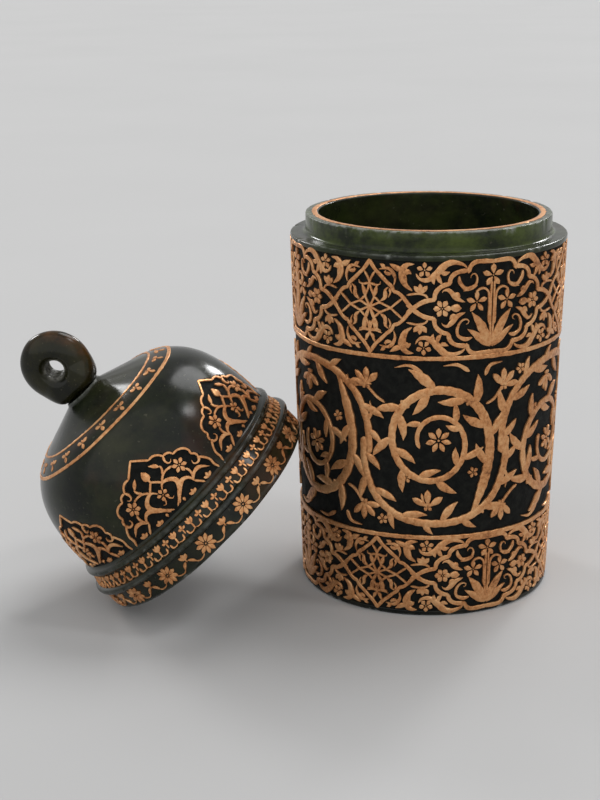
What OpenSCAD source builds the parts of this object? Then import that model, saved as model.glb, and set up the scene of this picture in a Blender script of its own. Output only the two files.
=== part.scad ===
// Kohl container: a round jar of dark green stone with a domed lid, both laid with gold ornament.
// The jar stands on its base at the origin. The lid is off, on its rim, and leans on the jar's left.

/* [Jar] */
// Outer radius of the jar at its shoulder
shoulder_r = 26; // [24:0.5:32]
// Narrowing of the jar's radius from its shoulder down to its base
jar_taper = 1.9; // [0.5:0.1:3]
// Height of the shoulder above the base
shoulder_h = 68.4; // [62:0.2:80]
// Width of the flat ledge between the shoulder's edge and the neck
ledge_w = 2.9; // [2.6:0.1:4]
// Height of the neck above the shoulder
neck_h = 3.6; // [3:0.1:5]
// Thickness of the neck's wall
neck_wall = 2.5; // [1.8:0.1:3]
// Thickness of the stone under the hollow
floor_t = 6; // [4:0.5:10]
// Radius of the rounded corner at the bottom of the hollow
hollow_corner_r = 4; // [2:0.5:8]
// Radius of the hollow curve where the neck meets the ledge
neck_fillet_r = 0.9; // [0.4:0.1:1.2]
// Width of the bevel along the stone's edges
edge_bevel = 0.4; // [0.2:0.1:0.6]

/* [Lid] */
// Gap between the neck and the lid when the lid is on
lid_fit = 0.3; // [0.2:0.05:0.5]
// Thickness of the lid's rim round the neck
rim_wall = 1; // [0.8:0.1:1.6]
// Height of the lid's skirt below the dome
skirt_h = 9.8; // [9.6:0.2:14]
// Narrowing of the skirt's radius from the lower rib up to the dome
skirt_taper = 1.45; // [0.6:0.05:2]
// Height of the lower rib above the rim
lower_rib_h = 4.9; // [4.6:0.1:5.2]
// Height of the upper rib above the rim
upper_rib_h = 8.8; // [8.4:0.1:9]
// Radius of each half-round rib
rib_r = 0.7; // [0.5:0.05:0.9]
// Rise of the dome from the skirt to the inner gold line
dome_rise = 19.85; // [17:0.05:24]
// How far up the dome's side runs straight before it turns in
side_pull = 11.2; // [8:0.2:13]
// How far out the dome's cap runs straight before it turns down
shoulder_pull = 7; // [5:0.2:8]
// Radius of the flat cone that caps the dome
cap_r = 13.4; // [12:0.2:15]
// Rise of that cone up to the finial's seat
cap_rise = 3.5; // [2.5:0.1:5]
// Thickness of the dome's wall
dome_wall = 2.6; // [2:0.1:3.5]

/* [Finial] */
// Radius of the finial's foot and of its seat
foot_r = 3.8; // [3.4:0.1:4.5]
// Height of the round seat under the finial's foot
seat_h = 0.5; // [0.3:0.1:1]
// Radius of the finial's disc
disc_r = 7; // [6.5:0.1:8.5]
// Height of the disc's centre above the seat
disc_h = 6.5; // [6:0.1:8]
// Thickness of the disc
disc_t = 5.6; // [5:0.1:7]
// Radius of the cord hole through the disc
cord_hole_r = 1.8; // [1.4:0.1:2.4]
// Depth of the flare at each end of the cord hole
cord_flare = 0.8; // [0.4:0.1:1.2]
// Turn of the finial about the lid's axis
finial_turn = 79; // [-90:1:90]
// Radius of the peg that holds the finial
peg_r = 1.6; // [1.2:0.1:2]
// Length of the peg inside the dome
peg_len = 3; // [2:0.1:3.5]
// Gap round the peg in its hole
peg_fit = 0.05; // [0.03:0.01:0.1]

/* [Lean] */
// Angle between the lid's axis and the upright
lid_tilt = 42.75; // [35:0.25:55]
// Turn of the leaning lid about the upright
lid_turn = 3.15; // [-10:0.05:15]
// Distance of the lid's rim centre in front of the jar's axis
lean_forward = 10.7; // [0:0.1:14]
// Gap between the leaning lid and the jar
lean_gap = 0.35; // [0.3:0.05:1]

/* [Gold] */
// How far the ornament stands out of the stone
relief = 0.3; // [0.2:0.05:0.5]
// Gap between the gold and the stone under it
gold_gap = 0.03; // [0.02:0.01:0.05]
// Width of the straps that frame the ornament
strap_w = 0.8; // [0.6:0.05:1.2]
// Radius of the wire that makes a gold line
wire_r = 0.4; // [0.3:0.05:0.5]
// Width of the flat gold ring on the neck's lip
lip_ring_w = 1.2; // [0.8:0.1:1.3]
// Thickness of the lip ring
lip_ring_t = 0.3; // [0.2:0.05:0.5]
// How far the lip ring is sunk into the lip
lip_ring_sink = 0.2; // [0.1:0.05:0.2]

/* [Bands] */
// Height of the upper gold line on the jar
upper_line_z = 49.9; // [46:0.1:54]
// Height of the lower gold line on the jar
lower_line_z = 15.7; // [14:0.1:20]
// Bare stone between a band's ornament and the line or edge beside it
band_margin = 0.5; // [0.3:0.1:1.5]
// Pairs of one lattice and one medallion round the jar
pair_count = 4; // [3:1:5]
// Turn that the front pair takes; the other pairs share the rest
front_pair_turn = 99; // [85:1:105]
// Part of a pair's turn that its lattice takes
lattice_part = 0.36; // [0.3:0.01:0.45]
// Turn of the upper band's front lattice from the front
upper_lattice_turn = -27.8; // [-45:0.1:0]
// Turn of the lower band's front lattice from the front
lower_lattice_turn = -25.4; // [-45:0.1:0]
// Repeats of the ornament in the middle band
middle_count = 8; // [6:1:8]
// Radius of a scroll in the middle band
scroll_r = 3.4; // [2.5:0.1:3.8]
// Width of a scroll's strip
scroll_w = 1.4; // [1:0.1:2]
// Distance of a scroll's centre from the middle of its repeat
scroll_x = 4.8; // [4.6:0.1:5.4]
// Width of the broad leaves in the middle band
broad_w = 2; // [1.4:0.1:2.4]

/* [Lid Ornament] */
// Half medallions round the dome
lid_medallion_count = 6; // [5:1:8]
// Spacing of the three half medallions in front
front_medallion_turn = 56; // [50:1:60]
// Turn of the front half medallion from the lid's front
lid_front_turn = 5.8; // [-30:0.1:30]
// Width of a half medallion
lid_medallion_w = 20.6; // [16:0.2:21]
// Height of a half medallion above the upper rib
lid_medallion_h = 11.6; // [9:0.2:12.5]
// Blossoms between the two gold lines round the finial
blossom_count = 20; // [12:1:24]
// Tulips between the two ribs
tulip_count = 37; // [24:1:40]
// Daisies below the lower rib
daisy_count = 16; // [10:1:18]
// Place of the outer gold line along the dome's curve
outer_line_part = 0.8; // [0.7:0.01:0.9]

/* [Hidden] */
$fn = 64;
STONE = [0.10, 0.13, 0.10];
DEEP_STONE = [0.13, 0.15, 0.09];
GOLD = [0.80, 0.52, 0.28];
// A small overlap or overshoot for clean cuts
EPS = 0.01;
// Facets along the dome's curve
DOME_STEPS = 10;
// Angle between the points of a scalloped outline
LOBE_STEP = 11.25;
// Depth of the cusps as a part of the outline's radius
LOBE_DEPTH = 0.12;
// Segments along a curved strip
BOW_STEPS = 8;
// Width of a petal as a part of its length
PETAL_PART = 0.55;
// Width of a slender leaf as a part of its length
SLIM_PART = 0.3;
// Width of a plump leaf as a part of its length
PLUMP_PART = 0.42;
// Radius of a flower's eye as a part of the flower's
EYE_PART = 0.3;
// Radius of a blossom on the lid as a part of the distance between the lines beside it
BLOSSOM_PART = 0.31;
// Depth that a motif is cut to before the curved skin trims it
TRIM = 8;

base_r = shoulder_r - jar_taper;
neck_r = shoulder_r - ledge_w;
mouth_r = neck_r - neck_wall;
top_z = shoulder_h + neck_h;
rim_r = neck_r + lid_fit + rim_wall;
dome_r = rim_r - skirt_taper;
socket_h = neck_h + lid_fit;
cap_z = skirt_h + dome_rise;
seat_z = cap_z + cap_rise + seat_h;
cap_slope = atan2(cap_rise, cap_r - foot_r);
cap_dir = [cos(cap_slope), -sin(cap_slope)];
dome_curve = [
    [dome_r, skirt_h],
    [dome_r, skirt_h + side_pull],
    [cap_r, cap_z] + shoulder_pull * cap_dir,
    [cap_r, cap_z]
];
outer_line_point = curve(dome_curve, outer_line_part);
upper_band = [upper_line_z + wire_r + band_margin, shoulder_h - edge_bevel - band_margin];
middle_band = [lower_line_z + wire_r + band_margin, upper_line_z - wire_r - band_margin];
lower_band = [edge_bevel + band_margin, lower_line_z - wire_r - band_margin];
daisy_strip = [edge_bevel, lower_rib_h - rib_r];
tulip_strip = [lower_rib_h + rib_r, upper_rib_h - rib_r];
other_pair_turn = (360 - front_pair_turn) / (pair_count - 1);
other_medallion_turn = (360 - 3 * front_medallion_turn) / (lid_medallion_count - 3);

// Radius of the jar's outside at height z
function jar_r(z) = base_r + jar_taper * z / shoulder_h;

// Point at t along the cubic curve with the four control points p
function curve(p, t) =
    pow(1 - t, 3) * p[0] + 3 * t * pow(1 - t, 2) * p[1]
    + 3 * t * t * (1 - t) * p[2] + pow(t, 3) * p[3];

// The dome's curve, drawn inward by d all along
function dome_points(d) =
    [for (i = [0:DOME_STEPS])
        let (
            t = i / DOME_STEPS,
            q = curve(dome_curve, t),
            v = curve(dome_curve, t + EPS) - curve(dome_curve, t - EPS)
        )
        q - d * [v[1], -v[0]] / norm(v)];

// The cone from the cap's edge up to the finial's seat, drawn inward by d
function cap_end(d) = [foot_r, cap_z + cap_rise - d / cos(cap_slope)];

// The skirt's side as points from the rim up, drawn inward by d
function skirt_points(d) = [
    [rim_r - d, 0],
    [rim_r - d, lower_rib_h],
    [dome_r - d, skirt_h]
];

// Radius of the skirt at height h
function skirt_r(h) =
    h < lower_rib_h ? rim_r : rim_r - skirt_taper * (h - lower_rib_h) / (skirt_h - lower_rib_h);

// Points of the lid that come nearest to the ground and to the jar when it leans
lean_points = [
    [rim_r - edge_bevel, 0],
    [rim_r, edge_bevel],
    [rim_r + rib_r, lower_rib_h],
    [skirt_r(upper_rib_h) + rib_r, upper_rib_h]
];
lean_z = max([for (p = lean_points) p[0] * sin(lid_tilt) - p[1] * cos(lid_tilt)]);

// Where the lid's point at radius r, turn a and height h lies once tilted and turned
function leaned(r, a, h) =
    let (
        u = r * cos(a) * cos(lid_tilt) - h * sin(lid_tilt),
        v = r * sin(a)
    )
    [
        u * cos(lid_turn) - v * sin(lid_turn),
        u * sin(lid_turn) + v * cos(lid_turn),
        r * cos(a) * sin(lid_tilt) + h * cos(lid_tilt)
    ];

// The rim centre's distance to the left of the jar's axis, so that the lid just clears the jar
lean_x = max([for (p = lean_points) for (a = [-90:3:90])
    let (
        q = leaned(p[0], a, p[1]),
        reach = jar_r(q[2] + lean_z) + relief + lean_gap,
        y = q[1] - lean_forward
    )
    abs(y) < reach ? q[0] + sqrt(reach * reach - y * y) : 0]);

// Ornament shapes

// A pointed leaf of length len, growing up from the origin, part as wide as it is long
module leaf(len, part) {
    w = part * len;
    polygon([[0, 0], [w / 2, 0.4 * len], [0, len], [-w / 2, 0.4 * len]]);
}

// A flower of count pointed petals
module flower(count, r) {
    for (i = [0:count - 1])
        rotate(i * 360 / count) leaf(r, PETAL_PART);
    circle(r = EYE_PART * r, $fn = 8);
}

// A curved strip of mean radius r and width w from angle a0 to angle a1
module bow(r, w, a0, a1) {
    polygon(concat(
        [for (i = [0:BOW_STEPS]) let (a = a0 + (a1 - a0) * i / BOW_STEPS) (r + w / 2) * [cos(a), sin(a)]],
        [for (i = [BOW_STEPS:-1:0]) let (a = a0 + (a1 - a0) * i / BOW_STEPS) (r - w / 2) * [cos(a), sin(a)]]
    ));
}

// Points of a scalloped outline from angle a0 to angle a1, with a cusp every 45 degrees
function scallops(half_w, half_h, a0, a1) =
    [for (a = [a0:LOBE_STEP:a1])
        let (k = 1 - LOBE_DEPTH * (1 - abs(sin(4 * a))))
        [half_w * k * cos(a), half_h * k * sin(a)]];

// A scalloped frame of strap width round a bunch of lilies
module medallion(half_w, half_h) {
    difference() {
        polygon(scallops(half_w, half_h, 0, 360 - LOBE_STEP));
        polygon(scallops(half_w - strap_w, half_h - strap_w, 0, 360 - LOBE_STEP));
    }
    for (x = [-1, 1]) {
        translate([0, -0.8 * half_h]) rotate(-20 * x) leaf(0.75 * half_h, SLIM_PART);
        translate([0, -0.8 * half_h]) rotate(-48 * x) leaf(0.6 * half_h, SLIM_PART);
        translate([0.42 * x * half_w, 0.15 * half_h]) flower(5, 0.27 * half_h);
    }
    translate([-strap_w / 2, -0.8 * half_h]) square([strap_w, 1.2 * half_h]);
    translate([0, 0.5 * half_h]) flower(5, 0.25 * half_h);
}

// A diamond frame round a star of petals
module lattice(half_w, half_h) {
    reach_w = half_w - strap_w;
    inset = sqrt(2) * strap_w;
    difference() {
        polygon([[reach_w, 0], [0, half_h], [-reach_w, 0], [0, -half_h]]);
        polygon([[reach_w - inset, 0], [0, half_h - inset], [inset - reach_w, 0], [0, inset - half_h]]);
    }
    flower(8, 0.5 * half_h);
}

// A small flower over two leaves, for the space between a lattice and a medallion
module palmette(half_h) {
    translate([0, 0.76 * half_h]) flower(5, 0.17 * half_h);
    for (x = [-1, 1])
        translate([0.07 * x * half_h, 0.42 * half_h]) rotate(-30 * x) leaf(0.45 * half_h, SLIM_PART);
}

// One repeat of the middle band: mirrored scrolls under tall leaves
module arabesque(half_h) {
    tall = broad_w / half_h;
    translate([0, -0.05 * half_h]) leaf(0.95 * half_h, tall);
    translate([0, -0.95 * half_h]) leaf(0.5 * half_h, 2 * tall);
    for (side = [0, 1])
        mirror([side, 0, 0]) {
            translate([scroll_x - scroll_r / 2, 0.3 * half_h]) rotate(-5) leaf(0.65 * half_h, 1.5 * tall);
            translate([scroll_x + scroll_r / 2, 0.22 * half_h]) rotate(5) leaf(0.7 * half_h, 1.5 * tall);
            translate([scroll_x, -0.3 * half_h]) {
                bow(scroll_r, scroll_w, -210, 70);
                rotate(25) leaf(0.6 * scroll_r, PLUMP_PART);
            }
            translate([scroll_x + scroll_r / 3, -0.95 * half_h]) rotate(40) leaf(0.32 * half_h, PLUMP_PART);
        }
}

// A scalloped arch that stands on the upper rib, round a vine
module half_medallion(half_w, h) {
    difference() {
        polygon(scallops(half_w, h, 0, 180));
        translate([0, -EPS]) polygon(scallops(half_w - strap_w, h - strap_w, 0, 180));
    }
    translate([0, 0.4 * h]) leaf(0.4 * h, PLUMP_PART);
    translate([0, 0.18 * h]) flower(5, 0.14 * h);
    for (x = [-1, 1]) {
        translate([0.42 * x * half_w, 0.42 * h]) flower(5, 0.15 * h);
        translate([0.62 * x * half_w, 0.08 * h]) rotate(-30 * x) leaf(0.3 * h, PLUMP_PART);
    }
}

// A three-petalled tulip on a short foot, for a strip of height h
module tulip(h) {
    flower(3, 0.4 * h);
    translate([0, -0.36 * h]) square([0.56 * h, 0.16 * h], center = true);
}

// Skins that trim the ornament to the curved stone

// The skin over the jar's side
module jar_skin() {
    translate([0, 0, -EPS])
        difference() {
            cylinder(h = shoulder_h, r1 = jar_r(0) + relief, r2 = jar_r(shoulder_h) + relief);
            translate([0, 0, -EPS]) cylinder(
                h = shoulder_h + 2 * EPS,
                r1 = jar_r(0) + gold_gap,
                r2 = jar_r(shoulder_h) + gold_gap
            );
        }
}

// The skin over the lid's dome and cap
module dome_skin() {
    inner = concat(dome_points(-gold_gap), [cap_end(-gold_gap)]);
    outer = concat(dome_points(-relief), [cap_end(-relief)]);
    rotate_extrude() polygon(concat(inner, [for (i = [len(outer) - 1:-1:0]) outer[i]]));
}

// The skin over the lid's skirt
module skirt_skin() {
    inner = skirt_points(-gold_gap);
    outer = skirt_points(-relief);
    rotate_extrude() polygon(concat(inner, [for (i = [len(outer) - 1:-1:0]) outer[i]]));
}

// Puts a flat motif upright at radius r, turn a and height z, ready to be trimmed
module facing(r, a, z) {
    rotate([0, 0, a]) translate([0, TRIM - r, z]) rotate([90, 0, 0]) linear_extrude(TRIM + 1) children();
}

// Turn of pair number i, from the front pair on
function pair_turn(i) = i == 0 ? front_pair_turn : other_pair_turn;

// Turn of lattice number i in a band whose front lattice is turned by first
function lattice_at(first, i) =
    i == 0 ? first
    : lattice_at(first, i - 1) + (1 - lattice_part / 2) * pair_turn(i - 1) + lattice_part / 2 * pair_turn(i);

// Turn of half medallion number i on the lid
function lid_medallion_at(i) =
    i == 0 ? lid_front_turn
    : i < 3 ? lid_medallion_at(0) + (i == 1 ? 1 : -1) * front_medallion_turn
    : lid_medallion_at(1) + front_medallion_turn / 2 + (i - 2.5) * other_medallion_turn;

// Lays the lid and all that is on it down beside the jar
module leaning() {
    translate([-lean_x, -lean_forward, lean_z]) rotate([0, -lid_tilt, lid_turn]) children();
}

// A gold wire round the point p = [radius, height] of a turned surface
module wire(p, extra) {
    rotate_extrude() translate(p) circle(r = wire_r + extra);
}

// Pieces of the jar

module jar_body() {
    color(STONE)
    difference() {
        rotate_extrude() difference() {
            polygon([
                [0, 0],
                [base_r - edge_bevel, 0],
                [base_r, edge_bevel],
                [shoulder_r, shoulder_h - edge_bevel],
                [shoulder_r - edge_bevel, shoulder_h],
                [neck_r + neck_fillet_r, shoulder_h],
                [neck_r + neck_fillet_r, shoulder_h + neck_fillet_r],
                [neck_r, shoulder_h + neck_fillet_r],
                [neck_r, top_z - edge_bevel],
                [neck_r - edge_bevel, top_z],
                [0, top_z]
            ]);
            translate([neck_r + neck_fillet_r, shoulder_h + neck_fillet_r]) circle(r = neck_fillet_r);
        }
        translate([0, 0, floor_t + hollow_corner_r]) cylinder(h = top_z, r = mouth_r);
        rotate_extrude() {
            translate([0, floor_t]) square([mouth_r - hollow_corner_r, hollow_corner_r + EPS]);
            translate([mouth_r - hollow_corner_r, floor_t + hollow_corner_r]) circle(r = hollow_corner_r);
        }
        translate([0, 0, top_z - lip_ring_sink])
            cylinder(h = neck_h, r = mouth_r + lip_ring_w + gold_gap);
        wire([jar_r(upper_line_z), upper_line_z], gold_gap);
        wire([jar_r(lower_line_z), lower_line_z], gold_gap);
    }
}

module lip_ring() {
    color(GOLD)
    translate([0, 0, top_z - lip_ring_sink])
        difference() {
            cylinder(h = lip_ring_t, r = mouth_r + lip_ring_w);
            translate([0, 0, -EPS]) cylinder(h = lip_ring_t + 2 * EPS, r = mouth_r);
        }
}

module upper_line() {
    color(GOLD) wire([jar_r(upper_line_z), upper_line_z], 0);
}

module lower_line() {
    color(GOLD) wire([jar_r(lower_line_z), lower_line_z], 0);
}

// The medallions of a band that runs from band[0] to band[1], with its front lattice turned by first
module medallions(band, first) {
    mid = (band[0] + band[1]) / 2;
    half_h = (band[1] - band[0]) / 2;
    color(GOLD)
    intersection() {
        jar_skin();
        for (i = [0:pair_count - 1]) {
            half_w = jar_r(mid) * sin((1 - lattice_part) / 2 * pair_turn(i));
            facing(shoulder_r, lattice_at(first, i) + pair_turn(i) / 2, mid) medallion(half_w, half_h);
        }
    }
}

// The lattices of a band
module lattices(band, first) {
    mid = (band[0] + band[1]) / 2;
    color(GOLD)
    intersection() {
        jar_skin();
        for (i = [0:pair_count - 1])
            facing(shoulder_r, lattice_at(first, i), mid)
                lattice(jar_r(mid) * sin(lattice_part / 2 * pair_turn(i)), (band[1] - band[0]) / 2);
    }
}

// The palmettes above and below the places where lattices and medallions meet
module palmettes(band, first) {
    mid = (band[0] + band[1]) / 2;
    half_h = (band[1] - band[0]) / 2;
    color(GOLD)
    intersection() {
        jar_skin();
        for (i = [0:pair_count - 1])
            for (side = [-1, 1])
                for (up = [0, 1])
                    facing(shoulder_r, lattice_at(first, i) + side * lattice_part / 2 * pair_turn(i), mid)
                        mirror([0, up, 0]) palmette(half_h);
    }
}

module upper_medallions() {
    medallions(upper_band, upper_lattice_turn);
}

module upper_lattices() {
    lattices(upper_band, upper_lattice_turn);
}

module upper_palmettes() {
    palmettes(upper_band, upper_lattice_turn);
}

module lower_medallions() {
    medallions(lower_band, lower_lattice_turn);
}

module lower_lattices() {
    lattices(lower_band, lower_lattice_turn);
}

module lower_palmettes() {
    palmettes(lower_band, lower_lattice_turn);
}

module middle_arabesque() {
    color(GOLD)
    intersection() {
        jar_skin();
        for (i = [0:middle_count - 1])
            facing(shoulder_r, i * 360 / middle_count, (middle_band[0] + middle_band[1]) / 2)
                arabesque((middle_band[1] - middle_band[0]) / 2);
    }
}

// Pieces of the lid

module lid_dome() {
    color(STONE)
    leaning()
    difference() {
        union() {
            rotate_extrude() polygon(concat(
                [[0, 0], [rim_r - edge_bevel, 0], [rim_r, edge_bevel], [rim_r, lower_rib_h]],
                dome_points(0),
                [cap_end(0), [foot_r, seat_z], [0, seat_z]]
            ));
            rotate_extrude() translate([rim_r, lower_rib_h]) circle(r = rib_r);
            rotate_extrude() translate([skirt_r(upper_rib_h), upper_rib_h]) circle(r = rib_r);
        }
        translate([0, 0, -EPS]) cylinder(h = socket_h + EPS, r = rim_r - rim_wall);
        rotate_extrude() polygon(concat(
            [[0, socket_h - EPS], [mouth_r, socket_h - EPS]],
            [for (p = dome_points(dome_wall)) [min(p[0], mouth_r), p[1]]],
            [[0, cap_end(dome_wall)[1]]]
        ));
        translate([0, 0, seat_z - peg_len - peg_fit]) cylinder(h = peg_len + 1, r = peg_r + peg_fit);
        wire(dome_points(0)[DOME_STEPS], gold_gap);
        wire(outer_line_point, gold_gap);
    }
}

module finial() {
    color(DEEP_STONE)
    leaning()
    translate([0, 0, seat_z])
    rotate([0, 0, finial_turn]) {
        translate([0, 0, -peg_len]) cylinder(h = peg_len + EPS, r = peg_r);
        difference() {
            union() {
                translate([0, 0, disc_h]) rotate([0, 90, 0]) rotate_extrude() {
                    translate([0, -disc_t / 2]) square([disc_r - disc_t / 2, disc_t]);
                    intersection() {
                        translate([disc_r - disc_t / 2, 0]) circle(r = disc_t / 2);
                        translate([0, -disc_t]) square([disc_r, 2 * disc_t]);
                    }
                }
                cylinder(h = disc_h - disc_r / 2, r1 = foot_r, r2 = disc_t / 2);
                rotate([90, 0, 90]) linear_extrude(disc_t / 2, center = true) polygon([
                    [-foot_r, 0], [foot_r, 0],
                    [disc_r * cos(20), disc_h - disc_r * sin(20)],
                    [-disc_r * cos(20), disc_h - disc_r * sin(20)]
                ]);
            }
            translate([-disc_t, 0, disc_h]) rotate([0, 90, 0]) cylinder(h = 2 * disc_t, r = cord_hole_r);
            for (side = [-1, 1])
                translate([side * (disc_t / 2 - cord_flare), 0, disc_h]) rotate([0, 90 * side, 0])
                    cylinder(h = disc_t, r1 = cord_hole_r, r2 = cord_hole_r + disc_t);
        }
    }
}

module lid_outer_line() {
    color(GOLD) leaning() wire(outer_line_point, 0);
}

module lid_inner_line() {
    color(GOLD) leaning() wire(dome_points(0)[DOME_STEPS], 0);
}

module lid_blossoms() {
    strip_w = outer_line_point[0] - cap_r;
    color(GOLD)
    leaning()
    intersection() {
        dome_skin();
        for (i = [0:blossom_count - 1])
            rotate(lid_front_turn - 90 + i * 360 / blossom_count)
                translate([cap_r + strip_w / 2, 0, cap_z - TRIM])
                    linear_extrude(2 * TRIM) rotate(-90) flower(3, BLOSSOM_PART * strip_w);
    }
}

module lid_medallions() {
    color(GOLD)
    leaning()
    intersection() {
        dome_skin();
        for (i = [0:lid_medallion_count - 1])
            facing(dome_r, lid_medallion_at(i), skirt_h + EPS)
                half_medallion(lid_medallion_w / 2, lid_medallion_h);
    }
}

module lid_tulips() {
    color(GOLD)
    leaning()
    intersection() {
        skirt_skin();
        for (i = [0:tulip_count - 1])
            facing(rim_r, lid_front_turn + i * 360 / tulip_count, (tulip_strip[0] + tulip_strip[1]) / 2)
                tulip(tulip_strip[1] - tulip_strip[0]);
    }
}

module lid_daisies() {
    strip_h = daisy_strip[1] - daisy_strip[0];
    mid = (daisy_strip[0] + daisy_strip[1]) / 2;
    color(GOLD)
    leaning()
    intersection() {
        skirt_skin();
        for (i = [0:daisy_count - 1]) {
            facing(rim_r, lid_front_turn + i * 360 / daisy_count, mid) flower(8, 0.42 * strip_h);
            facing(rim_r, lid_front_turn + (i + 0.5) * 360 / daisy_count, mid) flower(3, 0.37 * strip_h);
        }
    }
}

jar_body();
lip_ring();
upper_line();
lower_line();
upper_medallions();
upper_lattices();
upper_palmettes();
middle_arabesque();
lower_medallions();
lower_lattices();
lower_palmettes();
lid_dome();
finial();
lid_outer_line();
lid_inner_line();
lid_blossoms();
lid_medallions();
lid_tulips();
lid_daisies();
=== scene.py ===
"""Kohl container: a jar of dark green stone with gilt relief, and its domed lid leaning on it.

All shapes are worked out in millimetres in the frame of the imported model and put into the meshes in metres.
"""

import logging
import math
from dataclasses import dataclass, field
from enum import Enum
from typing import Callable, Iterable, Sequence

import bpy
import numpy as np
from mathutils import Matrix


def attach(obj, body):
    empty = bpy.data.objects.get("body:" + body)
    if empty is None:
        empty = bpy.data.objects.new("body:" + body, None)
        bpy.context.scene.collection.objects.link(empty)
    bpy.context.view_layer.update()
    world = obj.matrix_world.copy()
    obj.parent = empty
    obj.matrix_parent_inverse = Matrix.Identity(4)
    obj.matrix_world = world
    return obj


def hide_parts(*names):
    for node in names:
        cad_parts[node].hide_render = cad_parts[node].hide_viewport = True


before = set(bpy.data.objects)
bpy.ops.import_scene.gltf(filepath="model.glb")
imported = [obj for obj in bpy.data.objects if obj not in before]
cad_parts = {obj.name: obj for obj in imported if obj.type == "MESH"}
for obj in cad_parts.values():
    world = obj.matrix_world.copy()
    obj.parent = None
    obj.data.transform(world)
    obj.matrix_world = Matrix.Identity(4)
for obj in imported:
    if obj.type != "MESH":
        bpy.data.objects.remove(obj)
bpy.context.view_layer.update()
MM = 0.001
SEED = 7
Array = np.ndarray
log = logging.getLogger("kohl_container")

# Vertices round a ring, and the angles in degrees from which edges of gold and of stone are drawn sharp
RING_STEPS = 480
GOLD_SHARP = 35.0
STONE_SHARP = 45.0
# How much a stroke's width wavers, and the least half width of a stroke
STROKE_WAVER = 0.07
LEAST_HALF = 0.035
# Depth of the slow ripple in a stone, and how far from the axis it is at its full depth
STONE_RIPPLE = 0.03
RIPPLE_FULL_R = 9.0
# A ridge's section from edge to edge: places across its half width, and shares of its height
RIDGE_ACROSS = np.array([-1.0, -0.93, -0.76, 0.0, 0.76, 0.93, 1.0])
RIDGE_CREST = np.array([0.0, 0.86, 0.985, 1.0, 0.985, 0.86, 0.0])


# Curves and surfaces


def points_of(text: str) -> Array:
    """Read rows of numbers written as "x,y x,y ...".

    Args:
        text: The rows, in millimetres where they are points.

    Returns:
        An array of one row per group.
    """
    return np.array([pair.split(",") for pair in text.split()], float)


def smooth_curve(points: Array, per_span: int = 12) -> Array:
    """Carry a smooth curve through points.

    Each span is a cubic between two points, whose slope at a point is half the step between its neighbours.

    Args:
        points: The points that the curve goes through.
        per_span: Samples in each span.

    Returns:
        The curve's samples, one row each.
    """
    slopes = np.gradient(points, axis=0)
    t = np.linspace(0, 1, per_span, endpoint=False)[None, :, None]
    start, end = points[:-1, None], points[1:, None]
    leave, arrive = slopes[:-1, None], slopes[1:, None]
    spans = (
        start * (2 * t**3 - 3 * t**2 + 1)
        + leave * (t**3 - 2 * t**2 + t)
        + end * (3 * t**2 - 2 * t**3)
        + arrive * (t**3 - t**2)
    )
    return np.vstack([spans.reshape(-1, points.shape[1]), points[-1:]])


def along(points: Array) -> Array:
    """Give the distance along a line of points, from its first."""
    return np.r_[0, np.cumsum(np.linalg.norm(np.diff(points, axis=0), axis=1))]


def spaced(points: Array, count: int) -> Array:
    """Take evenly spaced samples along a line of points.

    Args:
        points: The line, one row per point.
        count: How many samples.

    Returns:
        The samples, found by straight interpolation on the distance along the line.
    """
    walk = along(points)
    at = np.linspace(0, walk[-1], count)
    return np.stack([np.interp(at, walk, column) for column in points.T], 1)


def dense(profile: Array, step: float) -> Array:
    """Split the long sides of a profile and keep its corners.

    Args:
        profile: Its points, one row each.
        step: The longest side that is left.

    Returns:
        The profile with points added along its long sides.
    """
    pieces = [profile[:1]]
    for start, end in zip(profile[:-1], profile[1:]):
        count = max(1, math.ceil(np.linalg.norm(end - start) / step))
        pieces.append(start + (end - start) * np.linspace(0, 1, count + 1)[1:, None])
    return np.vstack(pieces)


def rounded(corners: Sequence[tuple[float, float, float]], steps: int = 4) -> Array:
    """Round the corners of a profile.

    Each corner is replaced by a parabola that leaves one side and joins the next, both at the corner's reach.

    Args:
        corners: Radius, height and reach of each corner.
        steps: Spans in each rounded corner.

    Returns:
        The profile's points as radius and height.
    """
    xy = np.array([corner[:2] for corner in corners], float)
    rows = [xy[:1]]
    for i in range(1, len(xy) - 1):
        reach = corners[i][2]
        if reach <= 0:
            rows.append(xy[i : i + 1])
            continue
        back, on = xy[i - 1] - xy[i], xy[i + 1] - xy[i]
        first = xy[i] + back / np.linalg.norm(back) * min(reach, 0.5 * np.linalg.norm(back))
        last = xy[i] + on / np.linalg.norm(on) * min(reach, 0.5 * np.linalg.norm(on))
        t = np.linspace(0, 1, steps + 1)[:, None]
        rows.append((1 - t) ** 2 * first + 2 * t * (1 - t) * xy[i] + t**2 * last)
    rows.append(xy[-1:])
    return np.vstack(rows)


def bezier(controls: Sequence[tuple[float, float]], count: int) -> Array:
    """Sample a cubic of four control points, by the usual cubic weights.

    Args:
        controls: The four control points.
        count: How many samples.

    Returns:
        The samples, one row each.
    """
    p = np.array(controls, float)
    t = np.linspace(0, 1, count)[:, None]
    return (1 - t) ** 3 * p[0] + 3 * t * (1 - t) ** 2 * p[1] + 3 * t**2 * (1 - t) * p[2] + t**3 * p[3]


def ease(values: Array, low: float, high: float) -> Array:
    """Rise smoothly from nought at the low value to one at the high one, by the cubic three squares less two cubes."""
    t = np.clip((values - low) / (high - low), 0, 1)
    return t * t * (3 - 2 * t)


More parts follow.
